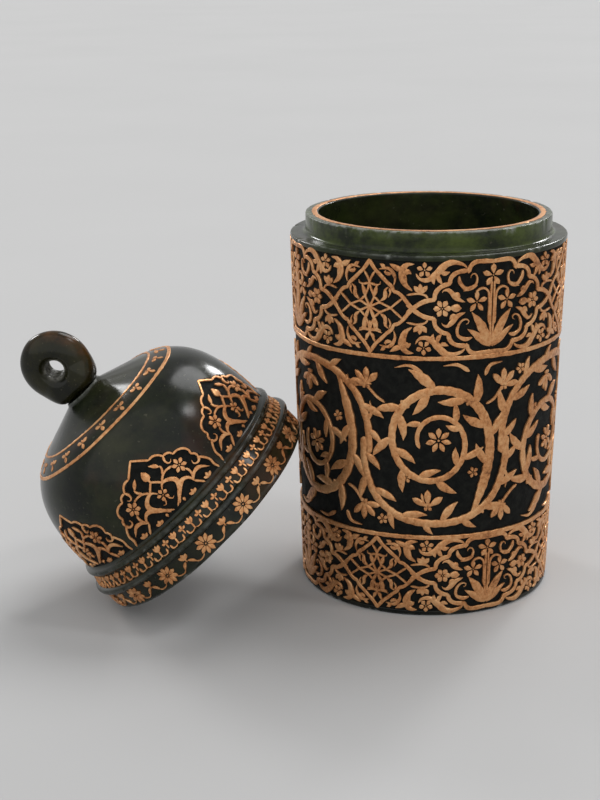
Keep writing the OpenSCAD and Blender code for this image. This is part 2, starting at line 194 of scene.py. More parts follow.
def grid_faces(rows: int, columns: int, first: int = 0) -> Array:
    """Join a grid of vertices whose rows close on themselves.

    Args:
        rows: Rows of vertices.
        columns: Vertices in a row; the last joins the first.
        first: Number of the grid's first vertex.

    Returns:
        Four vertex numbers for each face: row i and column j to the next row and the next column.
    """
    i, j = np.meshgrid(np.arange(rows - 1), np.arange(columns), indexing="ij")
    after = (j + 1) % columns
    quads = np.stack([i * columns + j, i * columns + after, (i + 1) * columns + after, (i + 1) * columns + j], -1)
    return quads.reshape(-1, 4) + first


def closed_faces(rows: int, columns: int) -> Array:
    """Join a grid whose rows and columns both close on themselves."""
    return grid_faces(rows + 1, columns) % (rows * columns)


def bell_about(values: Array, centre: float, width: float) -> Array:
    """Give a bell of height one about a centre: e to the minus squared distance over squared width."""
    return np.exp(-(((values - centre) / width) ** 2))


def near_edges(radius: Array, height: Array, edges: Sequence[tuple[float, float]], width: float) -> Array:
    """Give a bell of height one about each of some edges, as wear: the greatest of them at each place."""
    bells = [bell_about(np.hypot(radius - r, height - h), 0.0, width) for r, h in edges]
    return np.maximum.reduce(bells)


def ripple(angle: Array, height: Array, rng: np.random.Generator, waves: int = 7) -> Array:
    """Add up slow waves in angle and height, as the unevenness that hand grinding leaves.

    Args:
        angle: Angles in radians.
        height: Heights in millimetres.
        rng: The source of the waves' numbers.
        waves: How many waves.

    Returns:
        Values of about minus one to one.
    """
    turns = rng.integers(1, 9, waves)
    pace = rng.uniform(0.05, 0.45, waves)
    phase = rng.uniform(0, 2 * math.pi, waves)
    return sum(np.sin(k * angle + p * height + f) for k, p, f in zip(turns, pace, phase)) / waves**0.5


# Meshes


@dataclass
class MeshParts:
    """The vertices, faces and named vertex values of a mesh that is being put together."""

    vertices: list[Array] = field(default_factory=list)
    quads: list[Array] = field(default_factory=list)
    fans: list[list[int]] = field(default_factory=list)
    values: dict[str, list[Array]] = field(default_factory=dict)
    count: int = 0

    def add(self, points: Array, quads: Array, fans: Iterable[Sequence[int]] = (), **values: Array) -> None:
        """Add a patch.

        Args:
            points: Its vertices in millimetres.
            quads: Its four-sided faces, numbered from the patch's first vertex.
            fans: Its other faces, numbered the same way.
            **values: A number for each vertex, by name.
        """
        self.vertices.append(points.reshape(-1, 3))
        self.quads.append(quads + self.count)
        self.fans.extend([int(v) + self.count for v in fan] for fan in fans)
        for name, numbers in values.items():
            self.values.setdefault(name, []).append(np.ravel(numbers))
        self.count += points.size // 3

    def mesh(self, name: str, sharp_degrees: float) -> bpy.types.Mesh:
        """Make the Blender mesh, in metres.

        Args:
            name: Its name.
            sharp_degrees: The angle between faces from which an edge is drawn sharp.

        Returns:
            The mesh, shaded smooth.
        """
        points = np.vstack(self.vertices) * MM
        quads = np.vstack(self.quads)
        fan_sizes = np.array([len(fan) for fan in self.fans], int)
        corners = np.r_[quads.ravel(), np.array([v for fan in self.fans for v in fan], int)]
        sizes = np.r_[np.full(len(quads), 4), fan_sizes]
        mesh = bpy.data.meshes.new(name)
        mesh.vertices.add(len(points))
        mesh.vertices.foreach_set("co", points.ravel())
        mesh.loops.add(len(corners))
        mesh.loops.foreach_set("vertex_index", corners)
        mesh.polygons.add(len(sizes))
        mesh.polygons.foreach_set("loop_start", np.r_[0, np.cumsum(sizes)[:-1]])
        mesh.polygons.foreach_set("loop_total", sizes)
        for key, parts in self.values.items():
            layer = mesh.attributes.new(key, "FLOAT", "POINT")
            layer.data.foreach_set("value", np.concatenate(parts).astype(np.float32))
        mesh.update(calc_edges=True)
        mesh.validate()
        mesh.shade_smooth()
        mesh.set_sharp_from_angle(angle=math.radians(sharp_degrees))
        return mesh


def make_piece(
    name: str,
    parts: MeshParts,
    material: bpy.types.Material,
    body: str,
    nodes: Sequence[str],
    sharp: float,
    ground: bpy.types.Material | None = None,
) -> bpy.types.Object:
    """Put a finished piece into the scene, on its body and in place of its nodes.

    Args:
        name: The piece's name.
        parts: Its vertices and faces.
        material: Its finish.
        body: The body that it moves with.
        nodes: The nodes that it stands for.
        sharp: The angle in degrees from which its edges are drawn sharp.
        ground: The finish of the faces whose vertex value ground is over a half.

    Returns:
        The object, at the origin.
    """
    mesh = parts.mesh(name, sharp)
    mesh.materials.append(material)
    if ground is not None:
        mesh.materials.append(ground)
        marks = np.empty(len(mesh.vertices), np.float32)
        corners = np.empty(len(mesh.loops), np.int32)
        starts = np.empty(len(mesh.polygons), np.int32)
        mesh.attributes["ground"].data.foreach_get("value", marks)
        mesh.loops.foreach_get("vertex_index", corners)
        mesh.polygons.foreach_get("loop_start", starts)
        mesh.polygons.foreach_set("material_index", (marks[corners[starts]] > 0.5).astype(np.int32))
    piece = bpy.data.objects.new(name, mesh)
    bpy.context.scene.collection.objects.link(piece)
    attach(piece, body)
    if nodes:
        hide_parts(*nodes)
    log.info("%s: %d vertices, %d faces, on %s", name, len(mesh.vertices), len(mesh.polygons), body)
    return piece


# The sizes that both sub-assemblies share


@dataclass(frozen=True)
class JarSkin:
    """The jar's tapered wall as a surface of angle and height, and the sizes it is made from."""

    base_r: float = 24.1
    shoulder_r: float = 26.0
    shoulder_h: float = 68.4

    def radius(self, height: Array) -> Array:
        """Give the wall's radius, which grows evenly from the base to the shoulder."""
        return self.base_r + (self.shoulder_r - self.base_r) * np.asarray(height) / self.shoulder_h

    def place(self, angle: Array, height: Array, lift: Array) -> Array:
        """Put points on the wall.

        A point stands at the wall's radius plus its lift, turned from the front by its angle.

        Args:
            angle: Angles in degrees, positive to the right of the front.
            height: Heights in millimetres.
            lift: Distances out from the wall.

        Returns:
            The points in millimetres, the last axis x, y, z.
        """
        turn = np.radians(angle)
        reach = self.radius(height) + lift
        return np.stack([reach * np.sin(turn), -reach * np.cos(turn), height + 0 * turn], -1)


@dataclass(frozen=True)
class LidSkin:
    """The leaning lid's outside as a surface of angle and distance up its outline from the rim."""

    rim_r: float = 24.4
    waist_r: float = 22.95
    lower_rib_h: float = 4.9
    skirt_h: float = 9.8
    cap_r: float = 13.4
    cap_h: float = 29.65
    foot_r: float = 3.8
    foot_h: float = 33.15
    side_pull: float = 11.2
    shoulder_pull: float = 7.0
    tilt: float = 42.75
    turn: float = 3.15
    origin: tuple[float, float, float] = (-42.179, -10.7, 16.291)

    def skirt_radius(self, height: Array) -> Array:
        """Give the skirt's radius: even up to the lower rib, then drawn in to the waist."""
        return np.interp(height, [0, self.lower_rib_h, self.skirt_h], [self.rim_r, self.rim_r, self.waist_r])

    def dome(self, inset: float = 0.0, count: int = 40) -> Array:
        """Sample the dome's side from the skirt to the cap, moved in by an inset along its own normal.

        Args:
            inset: How far inside the dome's skin.
            count: How many samples.

        Returns:
            The samples as radius and height.
        """
        slope = math.atan2(self.foot_h - self.cap_h, self.cap_r - self.foot_r)
        lean_in = (self.cap_r + self.shoulder_pull * math.cos(slope), self.cap_h - self.shoulder_pull * math.sin(slope))
        side = [(self.waist_r, self.skirt_h), (self.waist_r, self.skirt_h + self.side_pull)]
        line = bezier([*side, lean_in, (self.cap_r, self.cap_h)], count)
        way = np.gradient(line, axis=0)
        way /= np.linalg.norm(way, axis=1)[:, None]
        return line - inset * np.stack([way[:, 1], -way[:, 0]], 1)

    def outline(self) -> Array:
        """Give the outline that ornament is measured along, from the rim to the finial's foot."""
        skirt = [(self.rim_r, 0.0), (self.rim_r, self.lower_rib_h)]
        return np.vstack([skirt, self.dome(), [(self.foot_r, self.foot_h)]])

    def lean(self, points: Array) -> Array:
        """Stand upright points of the lid where it leans.

        They are tipped to the left by the tilt, turned by the turn, and moved to the lid's origin.

        Args:
            points: Points about the lid's own axis, the last axis x, y and height over the rim.

        Returns:
            The same points in the shared frame.
        """
        tilt, turn = math.radians(self.tilt), math.radians(self.turn)
        x, y, h = points[..., 0], points[..., 1], points[..., 2]
        out = x * math.cos(tilt) - h * math.sin(tilt)
        leaned = np.stack(
            [
                out * math.cos(turn) - y * math.sin(turn),
                out * math.sin(turn) + y * math.cos(turn),
                x * math.sin(tilt) + h * math.cos(tilt),
            ],
            -1,
        )
        return leaned + np.array(self.origin)

    def place(self, angle: Array, height: Array, lift: Array) -> Array:
        """Put points on the lid's outside.

        The distance up the outline gives a radius and a height, the outline's normal gives the lift's direction,
        the angle turns the point from the lid's front, and the whole is stood where the lid leans.

        Args:
            angle: Angles in degrees, positive towards the lid's upper side.
            height: Distances up the outline in millimetres.
            lift: Distances out from it.

        Returns:
            The points in the shared frame.
        """
        line = self.outline()
        walk = along(line)
        way = np.gradient(line, walk, axis=0)
        way /= np.linalg.norm(way, axis=1)[:, None]
        radius = np.interp(height, walk, line[:, 0]) + lift * np.interp(height, walk, way[:, 1])
        level = np.interp(height, walk, line[:, 1]) - lift * np.interp(height, walk, way[:, 0])
        turn = np.radians(angle)
        return self.lean(np.stack([radius * np.sin(turn), -radius * np.cos(turn), level], -1))


Skin = JarSkin | LidSkin


# Relief strokes


class Taper(Enum):
    """How a stroke's width runs from its start to its end."""

    STRAP = "even, with blunt ends"
    SWELL = "thin, broad in the middle, thin"
    LEAF = "pointed at both ends"
    PETAL = "pointed at the start, round at the end"
    COMMA = "round at the start, fine at the end"
    VINE = "fine where it leaves its stem, soon broad, then evenly finer"

    def share(self, t: Array, blunt: float) -> Array:
        """Give the share of the full width at each place.

        Args:
            t: Places from nought at the start to one at the end.
            blunt: Part of the length over which a blunt end is rounded.

        Returns:
            Shares of the width: even for a strap, a power of a sine for a swell, a leaf and a petal, and a falling
            line or power for a vine and a comma.
        """
        near_end = np.clip(np.minimum(t, 1 - t) / blunt, 0, 1)
        end = np.sqrt(near_end * (2 - near_end))
        if self is Taper.STRAP:
            return 0.18 + 0.82 * end
        if self is Taper.SWELL:
            return (0.3 + 0.7 * np.sin(math.pi * t) ** 1.6) * (0.2 + 0.8 * end)
        if self is Taper.LEAF:
            return np.sin(math.pi * t**0.85) ** 0.85
        if self is Taper.PETAL:
            return np.sin(math.pi * t**1.25) ** 0.65
        if self is Taper.VINE:
            return (0.35 + 0.65 * ease(t, 0.0, 0.09)) * (1 - 0.62 * t) * (0.3 + 0.7 * end)
        return (1 - t) ** 0.6 * (0.25 + 0.75 * np.sqrt(np.clip(t / 0.16, 0, 1)))


@dataclass(frozen=True)
class Stroke:
    """One cut stroke of ornament: a line of control points in millimetres, its width and how it tapers."""

    points: Array
    width: float
    taper: Taper = Taper.STRAP
    rise: float = 1.0

    def scaled(self, across: float, up: float, width: float = 1.0) -> "Stroke":
        """Give the stroke with its points and width multiplied; a negative number mirrors it."""
        return Stroke(self.points * (across, up), self.width * width, self.taper, self.rise)

    def moved(self, across: float, up: float) -> "Stroke":
        """Give the stroke moved."""
        return Stroke(self.points + (across, up), self.width, self.taper, self.rise)


Motif = list[Stroke]


def strokes(taper: Taper, width: float, *lines: str, rise: float = 1.0) -> Motif:
    """Make strokes of one width and taper.

    Args:
        taper: How they taper.
        width: Their width in millimetres.
        *lines: Their control points as text.
        rise: Their height as a share of the full relief.

    Returns:
        The strokes.
    """
    return [Stroke(points_of(line), width, taper, rise) for line in lines]


def flower(x: float, y: float, reach: float, width: float, petals: int, turn: float = 90.0, eye: float = 0.3) -> Motif:
    """Make an open flower: petals about an eye, evenly turned, the first at the given turn.

    Args:
        x: Its centre across.
        y: Its centre up.
        reach: How far its petals reach.
        width: A petal's width.
        petals: How many petals.
        turn: The first petal's direction in degrees.
        eye: The radius of the dark eye.

    Returns:
        The petals and a bead in the eye.
    """
    ways = np.radians(turn + np.arange(petals) * 360 / petals)
    steps = [eye, 0.5 * (eye + reach), reach]
    motif = []
    for way in ways:
        petal = np.array([x, y]) + np.outer(steps, [math.cos(way), math.sin(way)])
        motif.append(Stroke(petal, width, Taper.PETAL, 0.95))
    bead = np.array([[x - 0.45 * eye, y], [x + 0.45 * eye, y]])
    return motif + [Stroke(bead, 0.9 * eye, Taper.LEAF, 0.8)]


def sprout(x: float, y: float, reach: float, width: float, ways: Sequence[float]) -> Motif:
    """Make a bud or trefoil: leaves from one point, each in its own direction.

    Args:
        x: The point across.
        y: The point up.
        reach: How far the leaves reach.
        width: A leaf's width.
        ways: The leaves' directions in degrees.

    Returns:
        The leaves.
    """
    start, steps = np.array([x, y]), [0.08, 0.55, 1.0]
    tips = [(math.cos(math.radians(way)) * reach, math.sin(math.radians(way)) * reach) for way in ways]
    return [Stroke(start + np.outer(steps, tip), width, Taper.PETAL) for tip in tips]


def both_sides(motif: Motif) -> Motif:
    """Give a motif with its mirror image across its upright axis."""
    return motif + [stroke.scaled(-1, 1) for stroke in motif]


def four_ways(motif: Motif) -> Motif:
    """Give a quarter motif with its three mirror images."""
    half = both_sides(motif)
    return half + [stroke.scaled(1, -1) for stroke in half]


def fitted(motif: Motif, across: float = 1.0, up: float = 1.0, width: float = 1.0) -> Motif:
    """Give a motif stretched across and up, with its strokes' width multiplied."""
    return [stroke.scaled(across, up, width) for stroke in motif]


def shifted(motif: Motif, across: float, up: float) -> Motif:
    """Give a motif moved across and up."""
    return [stroke.moved(across, up) for stroke in motif]


@dataclass
class Relief:
    """Strokes raised on a skin: each is a closed ridge whose foot is sunk under the surface."""

    skin: Skin
    unit_r: float
    rng: np.random.Generator
    height: float
    foot: float = -0.42
    station: float = 0.42
    parts: MeshParts = field(default_factory=MeshParts)

    def add(self, motif: Motif, angle: float, level: float) -> None:
        """Raise a motif.

        A stroke is a section carried along its smooth line. The section rises from its sunk foot to a rounded
        edge and a nearly flat top. Its width wavers slightly, as cut by hand, and thin parts of it stand lower.

        Args:
            motif: The strokes, in millimetres about the motif's origin.
            angle: The origin's angle on the skin in degrees.
            level: The origin's height on the skin.
        """
        across, crest = RIDGE_ACROSS, RIDGE_CREST
        for stroke in motif:
            spine = smooth_curve(stroke.points)
            length = along(spine)[-1]
            count = int(np.clip(math.ceil(length / self.station), 6, 180))
            line = spaced(spine, count)
            way = np.gradient(line, axis=0)
            way /= np.linalg.norm(way, axis=1)[:, None] + 1e-9
            side = np.stack([-way[:, 1], way[:, 0]], 1)
            t = np.linspace(0, 1, count)
            share = stroke.taper.share(t, min(0.45, 0.5 * stroke.width / max(length, 0.1)))
            waver = 1 + STROKE_WAVER * np.sin(length * t * self.rng.uniform(1.5, 4.0) + self.rng.uniform(0, 6.3))
            half = np.maximum(0.5 * stroke.width * share * waver, LEAST_HALF)
            flat = line[:, None] + side[:, None] * (half[:, None] * across)[..., None]
            fullness = 0.55 + 0.45 * np.clip(1.7 * share, 0, 1)
            top = self.height * stroke.rise * fullness * self.rng.uniform(0.92, 1.0)
            lift = self.foot + (top[:, None] - self.foot) * crest
            points = self.skin.place(angle + np.degrees(flat[..., 0] / self.unit_r), level + flat[..., 1], lift)
            columns = len(across)
            quads = grid_faces(count, columns)[:, ::-1]
            last = (count - 1) * columns
            caps = [range(columns), range(last + columns - 1, last - 1, -1)]
            self.parts.add(points, quads, caps, crest=np.broadcast_to(crest, lift.shape))


def ring_ridge(
    skin: Skin, level: float, width: float, height: float, foot: float, rng: np.random.Generator
) -> MeshParts:
    """Make a closed raised line round a skin.

    The same rounded section as a stroke's is carried once round at one height, and its width and height waver.

    Args:
        skin: The surface it lies on.
        level: Its height on the skin.
        width: Its width.
        height: How far it stands out.
        foot: The height of its sunk foot.
        rng: The source of its waver.

    Returns:
        The ring's mesh parts.
    """
    across, crest = RIDGE_ACROSS, RIDGE_CREST
    angle = np.linspace(0, 360, RING_STEPS, endpoint=False)
    turn = np.radians(angle)
    waver = ripple(9 * turn, 0 * turn, rng)
    drift = 0.06 * ripple(turn, 0 * turn, rng)
    half = 0.5 * width * (1 + 0.1 * waver)
    heights = level + drift[None] + across[:, None] * half[None]
    lift = foot + (height - foot) * crest[:, None] * (1 + 0.04 * waver[None])
    points = skin.place(np.broadcast_to(angle, heights.shape), heights, lift)
    parts = MeshParts()
    parts.add(points, closed_faces(len(across), len(angle)), crest=np.broadcast_to(crest[:, None], lift.shape))
    return parts


# Turned stone


@dataclass(frozen=True)
class Chip:
    """A small bite out of an edge: its angle in radians, the edge's radius and height, its size and depth."""

    angle: float
    radius: float
    height: float
    size: float
    depth: float


def edge_chips(
    edges: Sequence[tuple[float, float]], per_edge: int, rng: np.random.Generator, size: float
) -> list[Chip]:
    """Scatter small chips round edges.

    Args:
        edges: Radius and height of each edge.
        per_edge: Chips on each.
        rng: The source of their places and sizes.
        size: Their middling size in millimetres.

    Returns:
        The chips.
    """
    chips = []
    for radius, height in edges:
        for angle, scale in zip(rng.uniform(-math.pi, math.pi, per_edge), rng.lognormal(0, 0.45, per_edge)):
            chips.append(Chip(angle, radius, height, size * scale, 0.3 * size * scale))
    return chips


def upright(points: Array) -> Array:
    """Leave upright points where they are, for a piece that stands in the shared frame already."""
    return points


def bare_masks(angle: Array, radius: Array, height: Array) -> dict[str, Array]:
    """Mark nothing, for a piece without cut ground, wear or sunk parts."""
    return {"ground": 0 * angle, "worn": 0 * angle, "sinks": 0 * angle}


def turned_stone(
    profile: Array,
    columns: int,
    chips: Sequence[Chip],
    waver: float,
    rng: np.random.Generator,
    masks: Callable[[Array, Array, Array], dict[str, Array]],
    place: Callable[[Array], Array],
    sunk: float = 0.0,
) -> MeshParts:
    """Turn a profile about the upright axis, and let chips, hand waver and sunk ground shape it.

    A vertex stands at its profile point turned by its angle. It is moved in along the profile's normal by the
    bells of the chips near it, by the square of the slow ripple, which fades towards the axis, and by the sunk
    depth where the masks named ground and sinks are one.

    Args:
        profile: Radius and height from axis to axis, with the stone on the left of the way along it.
        columns: Vertices round the axis.
        chips: The chips.
        waver: Size of the slow ripple in millimetres.
        rng: The source of the ripple.
        masks: Gives named vertex values from angle in degrees, radius and height.
        place: Puts upright points into the shared frame.
        sunk: Depth of the ground where both masks are one.

    Returns:
        The closed surface's mesh parts.
    """
    inner = profile[1:-1]
    way = np.gradient(profile, axis=0)[1:-1]
    way /= np.linalg.norm(way, axis=1)[:, None] + 1e-9
    normal = np.stack([way[:, 1], -way[:, 0]], 1)
    turn = np.linspace(-math.pi, math.pi, columns, endpoint=False)
    radius = np.broadcast_to(inner[:, :1], (len(inner), columns))
    height = np.broadcast_to(inner[:, 1:], (len(inner), columns))
    angle = np.broadcast_to(turn, radius.shape)
    values = masks(np.degrees(angle), radius, height)
    slow = waver * ease(radius, 0.0, RIPPLE_FULL_R) * ripple(angle, height, rng) ** 2
    depth = slow + sunk * values["ground"] * values.pop("sinks")
    worn = values["worn"].copy()
    for chip in chips:
        near = np.abs(inner[:, 0] - chip.radius) + np.abs(inner[:, 1] - chip.height) < 3 * chip.size
        gap = (angle[near] - chip.angle + math.pi) % (2 * math.pi) - math.pi
        out, up = radius[near] - chip.radius, height[near] - chip.height
        reach = ((gap * chip.radius) ** 2 + out**2 + up**2) ** 0.5
        bell = np.exp(-((reach / chip.size) ** 4))
        depth[near] += chip.depth * bell
        worn[near] = np.maximum(worn[near], bell)
    values["worn"] = worn
    radius = radius - depth * normal[:, :1]
    height = height - depth * normal[:, 1:]
    points = place(np.stack([radius * np.sin(angle), -radius * np.cos(angle), height], -1))
    poles = place(np.array([[0, 0, profile[0, 1]], [0, 0, profile[-1, 1]]]))
    rows = len(inner)
    numbers = np.arange(columns)
    low = [[rows * columns, b, a] for a, b in zip(numbers, np.roll(numbers, -1))]
    top = (rows - 1) * columns
    high = [[rows * columns + 1, a + top, b + top] for a, b in zip(numbers, np.roll(numbers, -1))]
    parts = MeshParts()
    ends = {name: np.r_[np.ravel(marks), 0.0, 0.0] for name, marks in values.items()}
    parts.add(np.vstack([points.reshape(-1, 3), poles]), grid_faces(rows, columns), low + high, **ends)
    return parts


# The motifs


def lily_medallion() -> Motif:
    """Draw the jar's medallion: a scalloped strap frame round a bunch of lilies, reaching 14.5 by 8.3 mm.

    Returns:
        The medallion about its centre.
    """
    frame_strap = strokes(
        Taper.STRAP,
        0.85,
        "-0.3,8.2 1.8,8.35 3.4,8.3 4.3,7.6 4.75,6.35",
        "4.6,6.85 6.2,6.7 7.3,6.2 7.9,5.3 7.95,4.3",
        "7.75,4.6 9.0,4.3 9.9,3.7 10.5,2.8 10.65,1.4",
        "10.4,1.75 12.0,1.5 13.2,0.95 14.5,0.0 15.6,-1.1",
    )
    leaves = strokes(
        Taper.LEAF,
        1.0,
        "5.2,1.2 6.0,1.5 6.9,2.1 7.5,2.8 8.2,3.45 9.0,3.4 9.3,3.0",
        "5.1,-0.7 6.3,-1.2 7.0,-1.9 7.6,-2.6 8.3,-3.15 9.0,-2.9 9.3,-2.5",
        "6.1,2.2 6.8,2.6 7.3,2.5",
        "6.6,-1.4 7.3,-1.3 7.9,-1.9",
    )
    leaves += strokes(Taper.LEAF, 1.85, "0.3,-7.3 1.1,-5.2 2.2,-3.0 3.9,-0.7")
    leaves += strokes(Taper.LEAF, 1.35, "0.6,-7.2 1.8,-6.0 3.1,-4.8 4.6,-3.8")
    leaves += strokes(Taper.LEAF, 1.5, "5.8,0.1 6.9,0.15 8.0,0.2")
    tendrils = strokes(
        Taper.COMMA,
        0.85,
        "6.35,5.9 6.3,5.0 5.9,4.3 5.2,3.6 4.4,3.7 3.4,4.1 3.1,4.8 3.1,5.6 3.5,6.2 4.1,6.1 4.3,5.5",
        "3.7,-5.35 4.8,-5.65 5.6,-5.4 6.3,-4.9 6.5,-4.0 6.3,-3.1 5.9,-2.4 5.2,-1.95 4.5,-2.1 4.4,-2.6 4.9,-2.9",
    )
    tendrils += strokes(Taper.LEAF, 0.6, "3.0,4.1 4.2,3.5 5.6,3.2")
    stems = strokes(Taper.STRAP, 0.45, "3.1,2.2 3.1,2.9 2.5,3.4 1.7,3.5 1.0,3.0 0.7,2.2 0.6,0 0.65,-1.8 0.5,-3.2")
    stems += strokes(Taper.STRAP, 0.42, "0.26,4.8 0.3,2.0 0.3,-2.0 0.12,-7.2")
    blooms = flower(3.0, 1.05, 2.0, 0.95, 5) + flower(9.2, 0.1, 1.6, 1.0, 6, 60)
    inside = both_sides(leaves + tendrils + stems + blooms) + flower(0, 5.7, 2.1, 1.05, 5)
    return four_ways(frame_strap) + inside


def star_lattice() -> Motif:
    """Draw the jar's lattice: interlaced straps in a diamond 8 by 8.3 mm round a star of fine stems.

    Returns:
        The lattice about its centre.
    """
    straps = strokes(
        Taper.STRAP,
        0.72,
        "-0.15,8.6 1.0,6.9 2.0,5.9 3.1,4.8 4.1,3.9 4.55,2.9",
        "4.2,3.1 5.3,2.8 6.2,2.0 7.0,1.0 8.0,0 9.3,-1.3",
    )
    fine = strokes(
        Taper.STRAP,
        0.44,
        "1.05,6.5 0.4,5.4 0,4.5 -0.3,3.2 -0.85,1.9 -0.5,1.0 0.15,-0.2",
        "-0.2,-0.1 0.9,0.4 1.9,0.85 2.8,0.5 3.9,0 4.7,-0.7 5.3,-1.2 6.1,-1.9",
        "0.9,1.9 1.5,1.3 2.1,0.8",
    )
    curls = strokes(Taper.COMMA, 0.55, "0.1,4.3 1.2,4.0 2.0,4.2 2.1,4.7", "3.7,3.6 3.9,2.8 3.5,1.9")
    leaves = strokes(Taper.LEAF, 0.8, "0.9,1.8 1.15,3.0 1.5,4.1", "2.0,1.1 2.9,1.9 2.95,3.2 3.6,3.8")
    corner = strokes(Taper.SWELL, 0.75, "4.5,4.1 4.75,5.3 4.3,6.5 3.5,7.15 2.6,7.1 1.8,6.9")
    corner += strokes(Taper.LEAF, 0.75, "2.9,7.05 2.5,7.6 2.0,7.9", "4.2,6.2 3.5,6.15 2.9,6.45 3.1,6.8")
    half_palm = strokes(Taper.SWELL, 1.45, "8.1,8.1 6.8,7.9 6.05,6.9 6.1,5.6 6.6,4.3 7.8,3.3")
    half_palm += strokes(Taper.LEAF, 1.1, "6.2,6.3 7.0,6.7 7.6,6.3", "6.1,7.3 5.2,7.2 3.8,8.0")
    lotus = strokes(Taper.LEAF, 0.85, "0,-2.6 0,-3.3 0,-4.1", "0.75,-2.7 1.0,-3.3 0.8,-4.0")
    lotus += strokes(Taper.STRAP, 0.4, "-0.3,-4.4 1.2,-4.3 2.3,-4.7", "0,0 0.35,-1.2 0.8,-2.3")
    lotus += strokes(Taper.LEAF, 0.6, "0.1,-4.8 0.6,-5.4 0.9,-6.1")
    return four_ways(straps + corner + half_palm) + four_ways(fine + curls + leaves) + both_sides(lotus)


def corner_palmette() -> Motif:
    """Draw the spray in one corner between a medallion and the lattice beside it.

    Returns:
        The spray, measured from the medallion's centre.
    """
    spray = strokes(
        Taper.SWELL, 1.35, "4.9,7.2 5.6,7.9 7.3,8.4 8.5,8.15 9.4,7.4 10.4,6.3 11.2,5.6 12.2,5.2 13.3,5.5 13.9,6.4"
    )
    leaves = ("9.7,6.7 8.9,6.4 8.0,6.7", "10.1,6.3 9.8,5.2 9.2,4.5", "10.6,5.9 10.9,5.2 10.7,4.5")
    spray += strokes(Taper.LEAF, 0.85, *leaves)
    spray += strokes(Taper.STRAP, 0.42, "15.5,2.5 13.6,2.8 12.2,2.5 11.7,1.8")
    return spray + flower(12.4, 7.05, 1.4, 0.85, 5) + sprout(13.0, 2.7, 1.9, 0.95, (50, 85, 125))


def leaflet(line: Array, part: float, side: float, length: float, width: float, curl: float = 0.5) -> Motif:
    """Let a leaf grow out of a line, forwards and to one side, and bend back towards the line's own way.

    Args:
        line: The line's points.
        part: Where on the line it starts, from nought to one.
        side: One for the line's left, minus one for its right.
        length: The leaf's length in millimetres.
        width: Its width.
        curl: How far its tip bends back, as a share of its length.

    Returns:
        The leaf.
    """
    at = spaced(line, 201)
    i = round(part * 200)
    way = at[min(i + 1, 200)] - at[max(i - 1, 0)]
    way = way / np.linalg.norm(way)
    out = side * np.array([-way[1], way[0]])
    steps = [(0.0, 0.0), (0.3, 0.34), (0.62, 0.62), (0.62 + 0.5 * curl, 0.62 + 0.3 * (1 - curl))]
    return [Stroke(np.array([at[i] + length * (a * way + b * out) for a, b in steps]), width, Taper.LEAF)]


def scroll_bay() -> Motif:
    """Draw one bay of the middle band, 27 mm wide: a vine that swings under a great spiral set with split leaves.

    The spiral swings in from the vine and turns one and three quarter times round its flower, while its reach
    falls evenly from 10.9 to 2.9 mm. The next bay holds the same turned over, so that the vine runs on.

    Returns:
        The bay about its middle.
    """
    share = np.linspace(0, 1, 61)
    turns = np.radians(-62 + 622 * share)
    reach = 10.9 - 8.0 * share + 4.2 * np.exp(-share / 0.035)
    spiral = np.stack([-0.3 + reach * np.cos(turns), 1.4 + 1.1 * reach * np.sin(turns)], 1)
    half_vine = points_of("0,-14.3 6.4,-13.2 11.0,-9.8 13.3,-4.6 13.6,0 13.5,1.6")
    vine = np.vstack([half_vine[:0:-1] * (-1, 1), half_vine])
    bay = [Stroke(vine, 1.5), Stroke(spiral, 2.15, Taper.VINE)]
    # Each leaf as its place on the line, its side, its length and its width
    on_spiral = points_of(
        "0.125,1,4,1.5 0.19,-1,4.4,1.7 0.215,1,4.4,1.6 0.275,-1,4.6,1.7 0.3,1,4.4,1.6 0.375,-1,5,1.9 "
        "0.39,1,4.2,1.6 0.46,-1,4.2,1.6 0.475,1,4.2,1.6 0.535,-1,4.4,1.6 0.56,1,3.9,1.5 0.61,-1,3.8,1.5 "
        "0.65,1,3.6,1.4 0.69,-1,3.8,1.5 0.75,1,3,1.3 0.77,-1,3.6,1.4 0.84,1,2.4,1.1 0.86,-1,3.2,1.3 0.94,-1,2.6,1.1"
    )
    on_vine = points_of(
        "0.06,1,3.6,1.4 0.15,-1,4.4,1.6 0.21,1,4,1.5 0.31,-1,3.4,1.3 0.36,1,4.2,1.5 0.45,-1,2.6,1.1 0.52,1,4.2,1.5 "
        "0.6,-1,3,1.2 0.7,-1,4.4,1.6 0.8,-1,4.2,1.5 0.9,-1,3.2,1.3"
    )
    for line, leaves, longer in ((spiral, on_spiral, 1.08), (vine, on_vine, 1.05)):
        for part, side, length, width in leaves:
            bay += leaflet(line, part, side, longer * length, 1.05 * width)
    bay += flower(0.35, 1.8, 2.35, 1.05, 7, 90, 0.5)
    stems = ("-9.4,8.6 -11.0,9.6 -12.8,11.4", "9.0,8.2 10.6,9.0 12.2,11.0", "-2.6,-8.4 -2.2,-10.2 -1.6,-11.0")
    bay += strokes(Taper.STRAP, 0.5, *stems)
    buds = (
        (-13.0, 11.6, (48, 90, 132, 175)),
        (12.5, 11.2, (5, 48, 90, 132)),
        (-1.4, -11.0, (35, 92, 150)),
    )
    for across, up, ways in buds:
        bay += sprout(across, up, 3.3, 1.3, ways) + flower(across, up, 0.9, 0.75, 4, 45, 0.1)
    for across, up, turn in points_of("5.9,9.1,20 -5.9,8.4,50 -5.4,-5.4,10 6.9,-4.6,35 8.9,-11.9,0 -9.9,-13.9,30"):
        bay += flower(across, up, 1.05, 0.7, 5, turn, 0.2)
    return bay + strokes(
        Taper.COMMA,
        0.95,
        "5.6,14.6 3.4,15.9 0.9,15.8",
        "-2.6,14.4 -5.0,15.8 -7.6,15.3",
        "-13.2,4.6 -12.0,6.4 -12.3,8.6",
        "8.6,13.6 9.6,15.4 12.0,15.8",
    )


